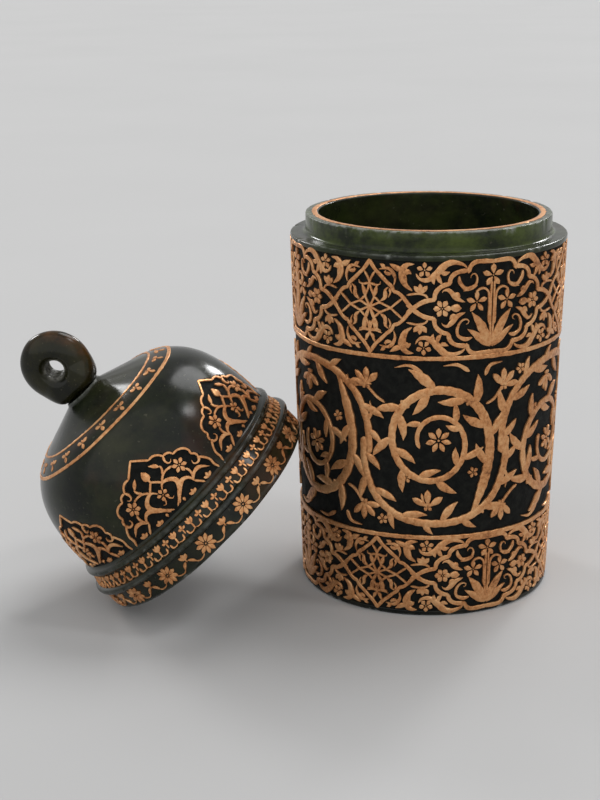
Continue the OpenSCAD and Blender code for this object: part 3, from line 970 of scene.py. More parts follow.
def arch_medallion() -> Motif:
    """Draw the lid's half medallion: a lobed strap arch 21 mm wide and 12.5 mm high round a vine and a heart.

    Returns:
        The half medallion, with the middle of its foot at nought.
    """
    half = strokes(
        Taper.STRAP,
        0.46,
        "-0.15,12.65 1.3,11.5 2.7,10.3",
        "2.5,10.4 3.5,10.4 4.4,9.9 5.05,8.9",
        "4.9,9.1 5.6,9.05 6.2,8.7 6.5,8.05",
        "6.3,8.1 7.5,8.0 8.5,7.4 8.9,6.5 8.7,5.7",
        "8.6,5.85 9.2,5.3 9.35,4.5",
        "9.2,4.5 10.0,3.4 10.4,2.4 10.3,1.4 10.7,0.2",
        "1.5,6.1 2.5,6.8 3.5,7.0 4.8,6.8",
        "2.4,6.8 3.15,7.7 3.25,8.4",
        "6.1,4.8 6.35,4.0 6.15,3.1 5.6,2.2",
        "-0.1,7.5 0.7,6.8 1.6,5.9",
        "5.6,2.2 6.3,1.3 6.9,0.5",
    )
    curls = ("4.95,9.1 4.55,8.4 4.6,7.7 5.1,7.4 5.5,7.8", "9.3,4.7 9.0,4.0 8.3,3.85 7.75,4.3 7.95,4.9")
    half += strokes(Taper.COMMA, 0.62, *curls)
    half += strokes(
        Taper.SWELL,
        0.95,
        "0.5,5.0 1.2,5.8 2.0,5.85 3.0,5.3 3.5,4.5 3.3,3.7 2.3,2.5 1.1,1.1",
        "5.7,1.9 5.5,3.0 4.7,3.7 3.8,3.65 2.8,2.95 1.6,1.9 0.4,1.0",
    )
    half += strokes(Taper.LEAF, 0.75, "3.15,8.2 2.6,8.9 1.7,9.7", "5.7,2.3 6.6,3.1 8.0,3.1 9.4,1.8")
    half += strokes(Taper.COMMA, 0.4, "0.3,3.4 0.8,2.7 1.3,2.9")
    half += flower(5.8, 5.95, 1.4, 0.8, 6)
    for x, y, reach, width, ways in (
        (4.1, 0.5, 1.0, 0.65, (40, 90, 140)),
        (8.0, 0.5, 1.1, 0.65, (40, 90, 140)),
        (2.1, 0.7, 0.8, 0.6, (90,)),
    ):
        half += sprout(x, y, reach, width, ways)
    bud = strokes(Taper.PETAL, 1.7, "0,9.8 0,8.9 0,7.7") + strokes(Taper.STRAP, 0.45, "0,7.9 0,7.1")
    return both_sides(half) + bud + flower(0, 4.3, 1.15, 0.75, 5)


def blossom() -> Motif:
    """Draw a blossom of three petals, one towards the rim and two up to the sides, with a bud between them."""
    return sprout(0, 0.15, 1.35, 0.8, (-90, 22, 158)) + sprout(0, 0.2, 0.75, 0.35, (90,))


def tulip() -> Motif:
    """Draw a tulip between the ribs: a cup of three points, its foot, side curls, and a small bud beside it.

    Returns:
        The tulip about its cup.
    """
    cup = sprout(0, -0.15, 1.25, 0.62, (90, 58, 122)) + strokes(Taper.STRAP, 0.34, "0,0 0,-1.1")
    curls = strokes(Taper.COMMA, 0.45, "1.5,-0.35 1.35,-1.0 0.7,-1.15 0.1,-0.9")
    bud = sprout(0, 0.1, 0.8, 0.5, (90, 20, 160)) + strokes(Taper.STRAP, 0.26, "0,0.1 0,-0.7")
    return cup + both_sides(curls) + shifted(bud, 2.05, 0.1)


def daisy() -> Motif:
    """Draw a daisy of nine oval petals."""
    return flower(0, 0, 1.95, 0.84, 9, 90, 0.38)


def sprig() -> Motif:
    """Draw the sprig between two daisies: a bud over two leaves, and thin stems along the bottom.

    Returns:
        The sprig about its bud.
    """
    leaves = strokes(Taper.LEAF, 0.62, "0.25,-0.1 0.9,-0.6 1.45,-1.35")
    stems = strokes(Taper.STRAP, 0.24, "1.3,-1.2 1.9,-1.62 2.9,-1.5 3.4,-1.1")
    bud = sprout(0, 0.1, 1.35, 0.75, (90, 52, 128)) + strokes(Taper.STRAP, 0.3, "0,0.4 0,-0.35")
    return bud + both_sides(leaves + stems)


# Finishes


class NodeBench:
    """A material's node tree, with short methods for the nodes that the finishes use."""

    def __init__(self, name: str) -> None:
        """Make the material with a bare Principled shader.

        Args:
            name: The material's name.
        """
        self.material = bpy.data.materials.new(name)
        self.material.use_nodes = True
        self.tree = self.material.node_tree
        self.shader = self.tree.nodes["Principled BSDF"]
        self.place = self.node("ShaderNodeTexCoord").outputs["Object"]

    def node(self, kind: str, **settings: object) -> bpy.types.Node:
        """Add a node.

        Args:
            kind: Its type.
            **settings: Its properties by name.

        Returns:
            The node.
        """
        made = self.tree.nodes.new(kind)
        for key, value in settings.items():
            setattr(made, key, value)
        return made

    def feed(self, socket: bpy.types.NodeSocket, value: object) -> None:
        """Link a socket to an output, or set it to a plain value.

        Args:
            socket: The socket that is fed.
            value: An output or a plain value.
        """
        if isinstance(value, bpy.types.NodeSocket):
            self.tree.links.new(value, socket)
        else:
            socket.default_value = value

    def noise(
        self, size_mm: float, detail: float = 4.0, rough: float = 0.55, stretch: Sequence[float] = (1, 1, 1)
    ) -> bpy.types.NodeSocket:
        """Add a noise of a given size on the object's own coordinates.

        Args:
            size_mm: The size of its features in millimetres.
            detail: Its octaves.
            rough: How strong the fine octaves are.
            stretch: Scale of the coordinates along each axis.

        Returns:
            Its value.
        """
        mapping = self.node("ShaderNodeMapping")
        self.feed(mapping.inputs["Vector"], self.place)
        mapping.inputs["Scale"].default_value = stretch
        made = self.node("ShaderNodeTexNoise")
        self.feed(made.inputs["Vector"], mapping.outputs["Vector"])
        made.inputs["Scale"].default_value = 1000.0 / size_mm
        made.inputs["Detail"].default_value = detail
        made.inputs["Roughness"].default_value = rough
        return made.outputs["Fac"]

    def ramp(self, value: object, *stops: tuple[float, object]) -> bpy.types.NodeSocket:
        """Turn a value into a colour or a number by stops.

        Args:
            value: What is looked up.
            *stops: Positions with a colour of three numbers, or a number, each.

        Returns:
            The colour.
        """
        made = self.node("ShaderNodeValToRGB")
        bar = made.color_ramp.elements
        while len(bar) < len(stops):
            bar.new(0.5)
        for element, (position, colour) in zip(bar, stops):
            element.position = position
            element.color = (*colour, 1.0) if isinstance(colour, tuple) else (colour, colour, colour, 1.0)
        self.feed(made.inputs["Fac"], value)
        return made.outputs["Color"]

    def mix(self, share: object, first: object, second: object) -> bpy.types.NodeSocket:
        """Mix two colours.

        Args:
            share: How much of the second colour, from nought to one.
            first: The first colour.
            second: The second colour.

        Returns:
            The mixed colour.
        """
        made = self.node("ShaderNodeMix", data_type="RGBA")
        self.feed(made.inputs["Factor"], share)
        for socket, value in ((made.inputs[6], first), (made.inputs[7], second)):
            self.feed(socket, (*value, 1.0) if isinstance(value, tuple) else value)
        return made.outputs[2]

    def reckon(self, operation: str, first: object, second: object) -> bpy.types.NodeSocket:
        """Work out one number from two.

        Args:
            operation: The name of what is done to them.
            first: The first number.
            second: The second number.

        Returns:
            The result.
        """
        made = self.node("ShaderNodeMath", operation=operation)
        self.feed(made.inputs[0], first)
        self.feed(made.inputs[1], second)
        return made.outputs[0]

    def attribute(self, name: str) -> bpy.types.NodeSocket:
        """Read a number that the mesh holds at its vertices."""
        made = self.node("ShaderNodeAttribute", attribute_name=name)
        return made.outputs["Fac"]

    def scaled_by(self, name: str, value: object) -> bpy.types.NodeSocket:
        """Multiply one of the mesh's own numbers by a value."""
        return self.reckon("MULTIPLY", self.attribute(name), value)

    def bump(self, *layers: tuple[object, float]) -> None:
        """Chain bumps into the shader.

        Args:
            *layers: A height value and the depth in millimetres that it stands for, each.
        """
        before = None
        for height, depth_mm in layers:
            made = self.node("ShaderNodeBump")
            made.inputs["Strength"].default_value = 1.0
            made.inputs["Distance"].default_value = depth_mm * MM
            self.feed(made.inputs["Height"], height)
            if before is not None:
                self.feed(made.inputs["Normal"], before)
            before = made.outputs["Normal"]
        self.feed(self.shader.inputs["Normal"], before)

    def finish(self, **inputs: object) -> bpy.types.Material:
        """Set the shader's sockets.

        Args:
            **inputs: Values or outputs by the socket's name, with an underline for each of its spaces.

        Returns:
            The finished material.
        """
        for key, value in inputs.items():
            value = (*value, 1.0) if isinstance(value, tuple) else value
            self.feed(self.shader.inputs[key.replace("_", " ")], value)
        return self.material


@dataclass(frozen=True)
class DarkStone:
    """Polished near-black green stone, with clouds, russet patches, paler worn edges that on the lid's ribs are also a
    painted highlight, and a painted glow of light through the jar's thin neck.
    """

    name: str = "dark_stone"
    deep: tuple[float, float, float] = (0.0042, 0.0052, 0.0044)
    cloud: tuple[float, float, float] = (0.0210, 0.0200, 0.0125)
    rust: tuple[float, float, float] = (0.042, 0.016, 0.010)
    moss: tuple[float, float, float] = (0.0095, 0.0140, 0.0050)
    bright: tuple[float, float, float] = (0.058, 0.080, 0.014)
    worn: tuple[float, float, float] = (0.20, 0.21, 0.19)

    def material(self) -> bpy.types.Material:
        """Build the material from noises, and from the vertex values worn, green and warm.

        Returns:
            The material.
        """
        bench = NodeBench(self.name)
        clouds = bench.noise(13, 7, 0.66)
        colour = bench.ramp(clouds, (0.46, self.deep), (0.66, self.cloud))
        patches = bench.ramp(bench.noise(20, 4, 0.55, (1.0, 1.3, 0.8)), (0.57, 0.0), (0.70, 0.8))
        warm = bench.scaled_by("warm", bench.ramp(bench.noise(6, 4, 0.6), (0.38, 0.1), (0.6, 1.0)))
        colour = bench.mix(bench.reckon("MAXIMUM", patches, warm), colour, self.rust)
        # Where the vertex value green is high the stone turns streaky green; on the jar's neck and hollow that is
        # painted light shining through the thin wall.
        streaks = bench.noise(7, 6, 0.68, (1.0, 1.0, 1.4))
        green = bench.mix(bench.ramp(streaks, (0.38, 0.0), (0.66, 1.0)), self.moss, self.bright)
        colour = bench.mix(bench.attribute("green"), colour, green)
        flecks = bench.ramp(bench.noise(0.7, 2, 0.5), (0.68, 0.0), (0.74, 0.6))
        colour = bench.mix(flecks, colour, (0.07, 0.068, 0.045))
        # Paler, rougher stone where the vertex value worn is high: wear, which along the lid's rib crests is also a
        # painted highlight.
        rubbed = bench.scaled_by("worn", bench.ramp(bench.noise(1.6, 5, 0.7), (0.40, 0.05), (0.60, 1.0)))
        colour = bench.mix(rubbed, colour, self.worn)
        polish = bench.ramp(bench.noise(3.4, 6, 0.66), (0.3, 0.12), (0.72, 0.26))
        rough = bench.mix(rubbed, polish, (0.5, 0.5, 0.5))
        bench.bump((bench.noise(7.0, 2), 0.035), (bench.noise(0.5, 3, 0.6), 0.003))
        return bench.finish(Base_Color=colour, Roughness=rough, IOR=1.5, Specular_IOR_Level=0.21)


@dataclass(frozen=True)
class CutGround:
    """The matt, tool-marked ground between the gold, darker than the polished stone."""

    name: str = "cut_ground"
    deep: tuple[float, float, float] = (0.0030, 0.0034, 0.0030)
    dusty: tuple[float, float, float] = (0.0110, 0.0115, 0.0095)

    def material(self) -> bpy.types.Material:
        """Build the material from noises.

        Returns:
            The material.
        """
        bench = NodeBench(self.name)
        colour = bench.ramp(bench.noise(1.3, 5, 0.65), (0.42, self.deep), (0.72, self.dusty))
        rough = bench.ramp(bench.noise(2.2, 3), (0.3, 0.62), (0.7, 0.8))
        bench.bump((bench.noise(0.8, 4, 0.65), 0.10), (bench.noise(0.3, 2), 0.02))
        return bench.finish(Base_Color=colour, Roughness=rough, IOR=1.5, Specular_IOR_Level=0.12)


@dataclass(frozen=True)
class FinialStone:
    """The finial's olive stone, with a painted amber glow of light through its thin edge on one side, and the ringed
    hole's wall painted pale as lit, mottled by noise.
    """

    name: str = "finial_stone"
    deep: tuple[float, float, float] = (0.0045, 0.0052, 0.0022)
    olive: tuple[float, float, float] = (0.021, 0.020, 0.0055)
    amber: tuple[float, float, float] = (0.095, 0.040, 0.014)

    def material(self) -> bpy.types.Material:
        """Build the material from noises and the vertex values amber and bore.

        Returns:
            The material.
        """
        bench = NodeBench(self.name)
        colour = bench.ramp(bench.noise(5.5, 5, 0.6), (0.36, self.deep), (0.66, self.olive))
        # Painted amber glow of light through the thin edge, where the vertex value amber is high.
        thin = bench.scaled_by("amber", bench.ramp(bench.noise(2.8, 5, 0.65), (0.34, 0.0), (0.62, 0.9)))
        colour = bench.mix(thin, colour, self.amber)
        flecks = bench.ramp(bench.noise(0.55, 2), (0.66, 0.0), (0.74, 0.5))
        colour = bench.mix(flecks, colour, (0.085, 0.075, 0.045))
        # The hole's wall is painted pale, a painted lit wall mottled by noise.
        rings = bench.ramp(bench.noise(0.8, 3), (0.35, (0.03, 0.03, 0.022)), (0.7, (0.16, 0.155, 0.13)))
        colour = bench.mix(bench.attribute("bore"), colour, rings)
        rough = bench.ramp(bench.noise(2.0, 5, 0.6), (0.3, 0.12), (0.75, 0.25))
        bench.bump((bench.noise(3.5, 2), 0.04), (bench.noise(0.35, 3, 0.6), 0.005))
        return bench.finish(Base_Color=colour, Roughness=rough, IOR=1.5, Specular_IOR_Level=0.24)


@dataclass(frozen=True)
class CopperGold:
    """Old gilding of a copper tone, in noise-laid patches of painted shade and painted glints, darker in its edges and
    in spots.
    """

    name: str = "copper_gold"
    # The shade and pale tones are painted shade and painted glints on the gold.
    shade: tuple[float, float, float] = (0.22, 0.085, 0.032)
    body: tuple[float, float, float] = (0.57, 0.255, 0.098)
    pale: tuple[float, float, float] = (0.82, 0.48, 0.23)
    metallic: float = 0.72

    def material(self) -> bpy.types.Material:
        """Build the material from noises and the vertex value crest.

        Returns:
            The material.
        """
        bench = NodeBench(self.name)
        broad = bench.noise(7.0, 4, 0.6)
        fine = bench.noise(0.7, 5, 0.68)
        blend = bench.reckon("ADD", bench.reckon("MULTIPLY", broad, 0.45), bench.reckon("MULTIPLY", fine, 0.55))
        # Noise lays out a painted shade tone, the body tone and a painted glint tone.
        colour = bench.ramp(blend, (0.34, self.shade), (0.46, self.body), (0.66, self.pale))
        edge = bench.ramp(bench.attribute("crest"), (0.15, 1.0), (0.82, 0.0))
        colour = bench.mix(bench.reckon("MULTIPLY", edge, 0.85), colour, (0.07, 0.030, 0.014))
        spots = bench.ramp(bench.noise(0.42, 3, 0.6), (0.64, 0.0), (0.74, 0.6))
        colour = bench.mix(spots, colour, (0.07, 0.035, 0.02))
        rough = bench.ramp(fine, (0.3, 0.50), (0.7, 0.32))
        bench.bump((bench.noise(1.1, 3, 0.6), 0.030), (bench.noise(0.28, 3, 0.7), 0.012))
        return bench.finish(Base_Color=colour, Roughness=rough, Metallic=self.metallic)


# The jar


@dataclass(frozen=True)
class OrnamentBand:
    """One of the jar's two bands of medallions and lattices."""

    name: str
    middle: float
    half_h: float
    lattice_turn: float


@dataclass
class GiltStone:
    """A stone set with gold: the finishes of both, and the body that they move with."""

    stone: bpy.types.Material
    gold: bpy.types.Material
    body: str

    def set_stone(self, name: str, node: str, parts: MeshParts, ground: CutGround) -> None:
        """Put the stone into the scene.

        Args:
            name: The piece's name.
            node: The node that it stands for.
            parts: Its mesh parts.
            ground: The finish of its cut ground.
        """
        make_piece(name, parts, self.stone, self.body, [node], STONE_SHARP, ground.material())

    def gild(self, name: str, node: str, parts: MeshParts, sharp: float = GOLD_SHARP) -> None:
        """Put a set of gold pieces into the scene.

        Args:
            name: The name of the set.
            node: The node that it stands for.
            parts: Its mesh parts.
            sharp: The angle in degrees from which its edges are drawn sharp.
        """
        make_piece(name, parts, self.gold, self.body, [node], sharp)


@dataclass
class Jar(GiltStone):
    """The open jar: its stone, the gilt lip, the gold lines, and the three bands of ornament."""

    body: str = "jar"
    skin: JarSkin = field(default_factory=JarSkin)
    neck_r: float = 23.1
    mouth_r: float = 20.6
    top_z: float = 72.0
    floor_z: float = 6.0
    hollow_corner: float = 4.0
    strip_low: float = 0.95
    strip_high: float = 67.45
    ground_depth: float = 0.3
    upper_line_z: float = 49.9
    lower_line_z: float = 15.7
    line_w: float = 0.85
    line_rise: float = 0.06
    line_foot: float = -0.45
    gold_rise: float = 0.05
    lip_inner: float = 0.3
    lip_outer: float = 1.3
    chips: int = 24
    chip_size: float = 0.4
    front_pair: float = 99.0
    pairs: int = 4
    lattice_part: float = 0.36
    drawn_pitch: float = 22.3
    repeats: int = 6
    drawn_half_h: float = 8.3
    upper: OrnamentBand = OrnamentBand("upper", 58.94, 8.25, -27.8)
    lower: OrnamentBand = OrnamentBand("lower", 8.05, 7.05, -25.4)
    columns: int = 480

    def profile(self) -> Array:
        """Draw the stone's profile, from the axis under the base round the outside to the hollow's floor.

        The ground between the bare strips lies deeper than the skin by the ground's depth.

        Returns:
            Radius and height of its points.
        """
        radius, sunk = self.skin.radius, self.ground_depth
        low, high, shoulder = self.strip_low, self.strip_high, self.skin.shoulder_h
        low_r, high_r = float(radius(low)), float(radius(high))
        outline = rounded(
            [
                (0, 0, 0),
                (self.skin.base_r, 0, 0.5),
                (low_r, low, 0.12),
                (low_r - sunk, low + 0.12, 0.1),
                (high_r - sunk, high - 0.12, 0.1),
                (high_r, high, 0.12),
                (self.skin.shoulder_r, shoulder, 0.45),
                (self.neck_r + 0.05, shoulder, 0.9),
                (self.neck_r, self.top_z, 0.32),
                (self.mouth_r, self.top_z, 0.3),
                (self.mouth_r, self.floor_z, self.hollow_corner),
                (0, self.floor_z, 0),
            ],
            5,
        )
        return dense(outline, 1.25)

    def masks(self, angle: Array, radius: Array, height: Array) -> dict[str, Array]:
        """Mark the cut ground, the worn edges, the greener neck and hollow, which is painted light shining through the
        thin wall, and the slightly greener stone under the shoulder.

        Args:
            angle: Angles in degrees; not used.
            radius: Distances from the stone's axis.
            height: Heights along it.

        Returns:
            The marks by name; none sinks, because the profile holds the sunk ground.
        """
        wall = radius > self.neck_r + 0.5
        ground = (wall & (height > self.strip_low + 0.06) & (height < self.strip_high - 0.06)).astype(float)
        edges = [(self.skin.shoulder_r, self.skin.shoulder_h), (self.skin.base_r, 0.0)]
        worn = 0.6 * near_edges(radius, height, edges, 0.22)
        ledge = wall & (height > self.skin.shoulder_h - 0.05)
        worn = np.maximum(worn, 0.12 * ledge)
        lip = ease(height, self.top_z - 0.4, self.top_z - 0.1) * ease(radius, 20.4, 22.4)
        worn = np.maximum(worn, 0.85 * lip)
        # Painted light shining through the thin neck wall: greener up the neck and towards its outside.
        neck = (~wall) * ease(height, 40.0, 66.0) * (0.35 + 0.65 * ease(radius, 20.7, 22.9))
        green = np.maximum(neck, 0.3 * ease(height, 66.5, 67.6))
        return {"ground": ground, "worn": worn, "green": green, "warm": 0.0 * ground, "sinks": 0.0 * ground}

    def make_stone(self) -> None:
        """Turn the stone body, with chips along the shoulder, the lip and the base."""
        rng = np.random.default_rng(SEED)
        edges = [(self.skin.shoulder_r, self.skin.shoulder_h), (self.neck_r, self.top_z), (self.skin.base_r, 0.1)]
        chips = edge_chips(edges, self.chips, rng, self.chip_size)
        parts = turned_stone(self.profile(), self.columns, chips, STONE_RIPPLE, rng, self.masks, upright)
        self.set_stone("jar_stone", "jar_body", parts, CutGround())

    def make_lip(self) -> None:
        """Lay the flat gold ring on the lip's inner half.

        The ring is a closed section of eight points turned about the axis, whose two edges waver.
        """
        rng = np.random.default_rng(SEED + 1)
        turn = np.linspace(-math.pi, math.pi, RING_STEPS, endpoint=False)
        share = np.array([0, 0.05, 0.35, 0.7, 0.96, 1, 1, 0])
        level = np.array([0.0, 0.075, 0.095, 0.09, 0.06, 0.0, -0.22, -0.22])
        inner = self.mouth_r + self.lip_inner + 0.04 * ripple(9 * turn, 0 * turn, rng)
        outer = self.mouth_r + self.lip_outer + 0.07 * ripple(11 * turn, 0 * turn, rng)
        radius = (outer - share[:, None] * (outer - inner))[::-1]
        height = np.broadcast_to((self.top_z + level)[::-1, None], radius.shape)
        points = np.stack([radius * np.sin(turn), -radius * np.cos(turn), height], -1)
        parts = MeshParts()
        quads = closed_faces(len(share), len(turn))[:, ::-1]
        crest = np.clip(1.2 * level[::-1] / 0.095, 0, 1)
        parts.add(points, quads, crest=np.broadcast_to(crest[:, None], radius.shape))
        self.gild("lip_gilding", "lip_ring", parts, 50)

    def make_lines(self) -> None:
        """Lay the two gold lines round the wall."""
        for name, level, seed in (("upper_line", self.upper_line_z, 2), ("lower_line", self.lower_line_z, 3)):
            rng = np.random.default_rng(SEED + seed)
            parts = ring_ridge(self.skin, level, self.line_w, self.line_rise, self.line_foot, rng)
            self.gild(f"gilt_jar_{name}", name, parts)

    def places(self, band: OrnamentBand) -> list[tuple[float, float, float]]:
        """Share the ring out to the pairs of a lattice and a medallion; the front pair is wider than the others.

        Args:
            band: The band that the pairs lie in.

        Returns:
            For each pair the lattice's and the medallion's angles in degrees, and their stretch across.
        """
        rest = (360 - self.front_pair) / (self.pairs - 1)
        nudge = 0.5 * (rest - self.front_pair) * self.lattice_part
        rows = []
        lattice = band.lattice_turn
        for i in range(self.pairs):
            width = self.front_pair if i == 0 else rest
            rows.append((lattice, lattice + 0.5 * width, width / self.front_pair))
            lattice += width + (nudge if i in (0, self.pairs - 1) else 0)
        return rows

    def make_band(self, band: OrnamentBand) -> None:
        """Raise a band's medallions, lattices and palmettes, each kind as a piece.

        Args:
            band: The band.
        """
        unit = float(self.skin.radius(band.middle))
        up = band.half_h / self.drawn_half_h
        medallions, lattices, palmettes = (
            Relief(self.skin, unit, np.random.default_rng(SEED + i), self.gold_rise) for i in (4, 5, 6)
        )
        fit = math.radians(self.front_pair / 2) * unit / self.drawn_pitch
        for lattice_turn, medallion_turn, stretch in self.places(band):
            across = fit * stretch
            medallions.add(fitted(lily_medallion(), across, up), medallion_turn, band.middle)
            lattices.add(fitted(star_lattice(), across, up), lattice_turn, band.middle)
            palmettes.add(fitted(four_ways(corner_palmette()), across, up), medallion_turn, band.middle)
        for relief, kind in ((medallions, "medallions"), (lattices, "lattices"), (palmettes, "palmettes")):
            name = f"{band.name}_{kind}"
            self.gild(f"gilt_{name}", name, relief.parts)

    def make_middle(self) -> None:
        """Raise the broad band between the two gold lines, with every second bay turned over."""
        middle = 0.5 * (self.upper_line_z + self.lower_line_z)
        unit = float(self.skin.radius(middle))
        relief = Relief(self.skin, unit, np.random.default_rng(SEED + 7), self.gold_rise)
        for i in range(self.repeats):
            relief.add(fitted(scroll_bay(), 1, -1 if i % 2 else 1), i * 360 / self.repeats, middle)
        self.gild("gilt_middle_band", "middle_arabesque", relief.parts)

    def make(self) -> None:
        """Build every piece of the jar."""
        self.make_stone()
        self.make_lip()
        self.make_lines()
        self.make_band(self.upper)
        self.make_middle()
        self.make_band(self.lower)


# The lid


@dataclass
class Lid(GiltStone):
    """The domed lid, lying against the jar: its stone, the gold lines, the ornament and the pierced finial."""

    body: str = "lid"
    skin: LidSkin = field(default_factory=LidSkin)
    socket_r: float = 23.4
    socket_h: float = 3.9
    mouth_r: float = 20.6
    rib_r: float = 0.7
    upper_rib_h: float = 8.8
    dome_wall: float = 2.6
    seat_h: float = 33.65
    peg_r: float = 1.6
    peg_len: float = 3.0
    arch_turns: tuple[float, ...] = (5.8, 61.8, -50.2, 121.8, 185.8, 249.8)
    arch_foot: float = 9.72
    arch_sunk: float = 0.22
    outer_line_w: float = 0.68
    inner_line_w: float = 0.42
    line_rise: float = 0.12
    line_foot: float = -0.3
    blossoms: int = 20
    tulips: int = 37
    daisies: int = 16
    front: float = 5.8
    tulip_level: float = 6.95
    daisy_front: float = 4.0
    daisy_level: float = 2.5
    sprig_level: float = 2.55
    outer_line_part: float = 0.8
    disc_h: float = 6.5
    hole_r: float = 1.8
    disc_half_t: float = 3.0
    finial_turn: float = 79.0
    rib_chips: int = 9
    rib_chip_size: float = 0.34
    rim_chips: int = 12
    rim_chip_size: float = 0.4
    columns: int = 440

    def profile(self) -> Array:
        """Draw the stone's profile, from the axis under the dome's top to the axis in the peg's hole.

        It runs down the hollow and the socket, round the rim, and up the outside: the skirt with its two half-round
        ribs, the dome, the cap, the finial's seat and the peg's hole.

        Returns:
            Radius and height over the rim of its points.
        """
        skin = self.skin
        slope = math.atan2(skin.foot_h - skin.cap_h, skin.cap_r - skin.foot_r)
        hollow = skin.dome(self.dome_wall, 16)[::-1]
        hollow[:, 0] = np.minimum(hollow[:, 0], self.mouth_r)
        crown = skin.foot_h - self.dome_wall / math.cos(slope)
        socket = rounded(
            [
                (self.mouth_r, skin.skirt_h - 0.4, 0),
                (self.mouth_r, self.socket_h, 0.25),
                (self.socket_r, self.socket_h, 0.3),
                (self.socket_r, 0.0, 0.2),
                (skin.rim_r - 0.43, 0.0, 0.2),
                (skin.rim_r, 0.43, 0.2),
                (skin.rim_r, 1.2, 0),
            ]
        )
        bow = np.linspace(-0.5 * math.pi, 0.5 * math.pi, 9)
        ribs = []
        for height in (skin.lower_rib_h, self.upper_rib_h):
            centre = float(skin.skirt_radius(height))
            ribs.append(np.stack([centre + self.rib_r * np.cos(bow), height + self.rib_r * np.sin(bow)], 1))
        strip = [(skin.rim_r - 0.02, 0.75), (skin.rim_r - 0.14, 0.9), (skin.rim_r - 0.14, ribs[0][0, 1] - 0.06)]
        groove_ends = ((ribs[0][-1, 1], 0.08), (ribs[1][0, 1], -0.08))
        groove = [(float(skin.skirt_radius(end)) - 0.16, end + gap) for end, gap in groove_ends]
        dome = skin.dome(0.0, 56)[2:]
        hole_r, hole_h = self.peg_r + 0.06, self.seat_h - self.peg_len
        seat = rounded(
            [
                (skin.cap_r - 0.4, skin.cap_h + 0.15, 0),
                (skin.foot_r + 0.3, skin.foot_h - 0.1, 0.5),
                (skin.foot_r, self.seat_h, 0.1),
                (hole_r, self.seat_h, 0.05),
                (hole_r, hole_h, 0),
                (0, hole_h, 0),
            ],
            3,
        )
        inside = dense(np.vstack([[(0, crown)], hollow, socket]), 1.4)
        outside = dense(np.vstack([strip, ribs[0], groove, ribs[1], dome, seat]), 0.55)
        return np.vstack([inside[:-1], outside])

    def arch_share(self, angle: Array, walk: Array) -> Array:
        """Mark the ground inside the half medallions.

        Args:
            angle: Angles in degrees.
            walk: Distances up the outline.

        Returns:
            One under an arch's outline, nought elsewhere.
        """
        outline = points_of("0,12.3 2.6,10.3 5,9.4 6.5,8.3 8.7,6.6 9.3,4.9 10.4,2.4 10.7,0.2")
        marks = np.zeros_like(walk)
        for turn in self.arch_turns:
            gap = (angle - turn + 180) % 360 - 180
            across = np.abs(np.radians(gap)) * self.skin.waist_r * self.arch_squeeze(turn)
            top = self.arch_foot + np.interp(across, outline[:, 0], outline[:, 1])
            inside = (across < outline[-1, 0]) & (walk < top) & (walk > self.arch_foot - 0.1)
            marks = np.maximum(marks, inside.astype(float))
        return marks

    def arch_squeeze(self, turn: float) -> float:
        """Give the factor on distances across an arch: the hidden arches' ground is cut slightly wider."""
        return 1.0 if abs(turn) < 90 else 0.98

    def masks(self, angle: Array, radius: Array, height: Array) -> dict[str, Array]:
        """Mark the cut ground, the worn ribs and rim, with the ribs' paler crests also a painted highlight, and the
        russet stone round the cap.

        Args:
            angle: Angles in degrees.
            radius: Distances from the stone's axis.
            height: Heights along it.

        Returns:
            The marks by name; the ground inside the arches sinks.
        """
        skin = self.skin
        inside_r = np.where(height > skin.skirt_h, np.interp(height, *self.hollow_line()), self.socket_r)
        outside = radius > inside_r + 0.9
        line = skin.outline()
        walk = np.interp(height, line[:, 1], along(line))
        strips = (height > skin.lower_rib_h + self.rib_r) & (height < self.upper_rib_h - self.rib_r)
        arches = self.arch_share(angle, walk) * outside * (height > skin.skirt_h - 0.3)
        ground = np.maximum(arches, 0.8 * (strips & outside))
        ends = [(skin.rim_r, 0.1), (skin.foot_r, self.seat_h)]
        # Paler crests along the ribs: wear, and a painted highlight along each crest.
        worn = 0.3 * near_edges(radius, height, self.rib_tops(), 0.32)
        worn = np.maximum(worn, 0.55 * near_edges(radius, height, ends, 0.3))
        warm = 0.8 * ease(height, skin.cap_h - 1.6, skin.cap_h + 0.4) * outside
        return {"ground": ground, "worn": worn, "green": 0.12 + 0.0 * ground, "warm": warm, "sinks": arches}

    def rib_tops(self) -> list[tuple[float, float]]:
        """Give radius and height of the two ribs' outermost lines."""
        skin = self.skin
        return [(float(skin.skirt_radius(h)) + self.rib_r, h) for h in (skin.lower_rib_h, self.upper_rib_h)]

    def hollow_line(self) -> tuple[Array, Array]:
        """Give the hollow's heights and radii, for telling outside from inside."""
        line = self.skin.dome(self.dome_wall, 30)
        return line[:, 1], line[:, 0]

    def make_stone(self) -> None:
        """Turn the stone, with chips along the ribs and the rim."""
        rng = np.random.default_rng(SEED + 20)
        chips = edge_chips(self.rib_tops(), self.rib_chips, rng, self.rib_chip_size)
        chips += edge_chips([(self.skin.rim_r, 0.1)], self.rim_chips, rng, self.rim_chip_size)
        lean, sunk = self.skin.lean, self.arch_sunk
        parts = turned_stone(self.profile(), self.columns, chips, STONE_RIPPLE, rng, self.masks, lean, sunk)
        self.set_stone("lid_stone", "lid_dome", parts, CutGround("lid_cut_ground"))

    def line_levels(self) -> Array:
        """Work out where the two gold lines lie.

        Returns:
            The outer and the inner line's distances up the outline.
        """
        line = self.skin.outline()
        outer_h = self.skin.dome(0.0, 101)[round(100 * self.outer_line_part), 1]
        return np.interp([outer_h, self.skin.cap_h], line[:, 1], along(line))

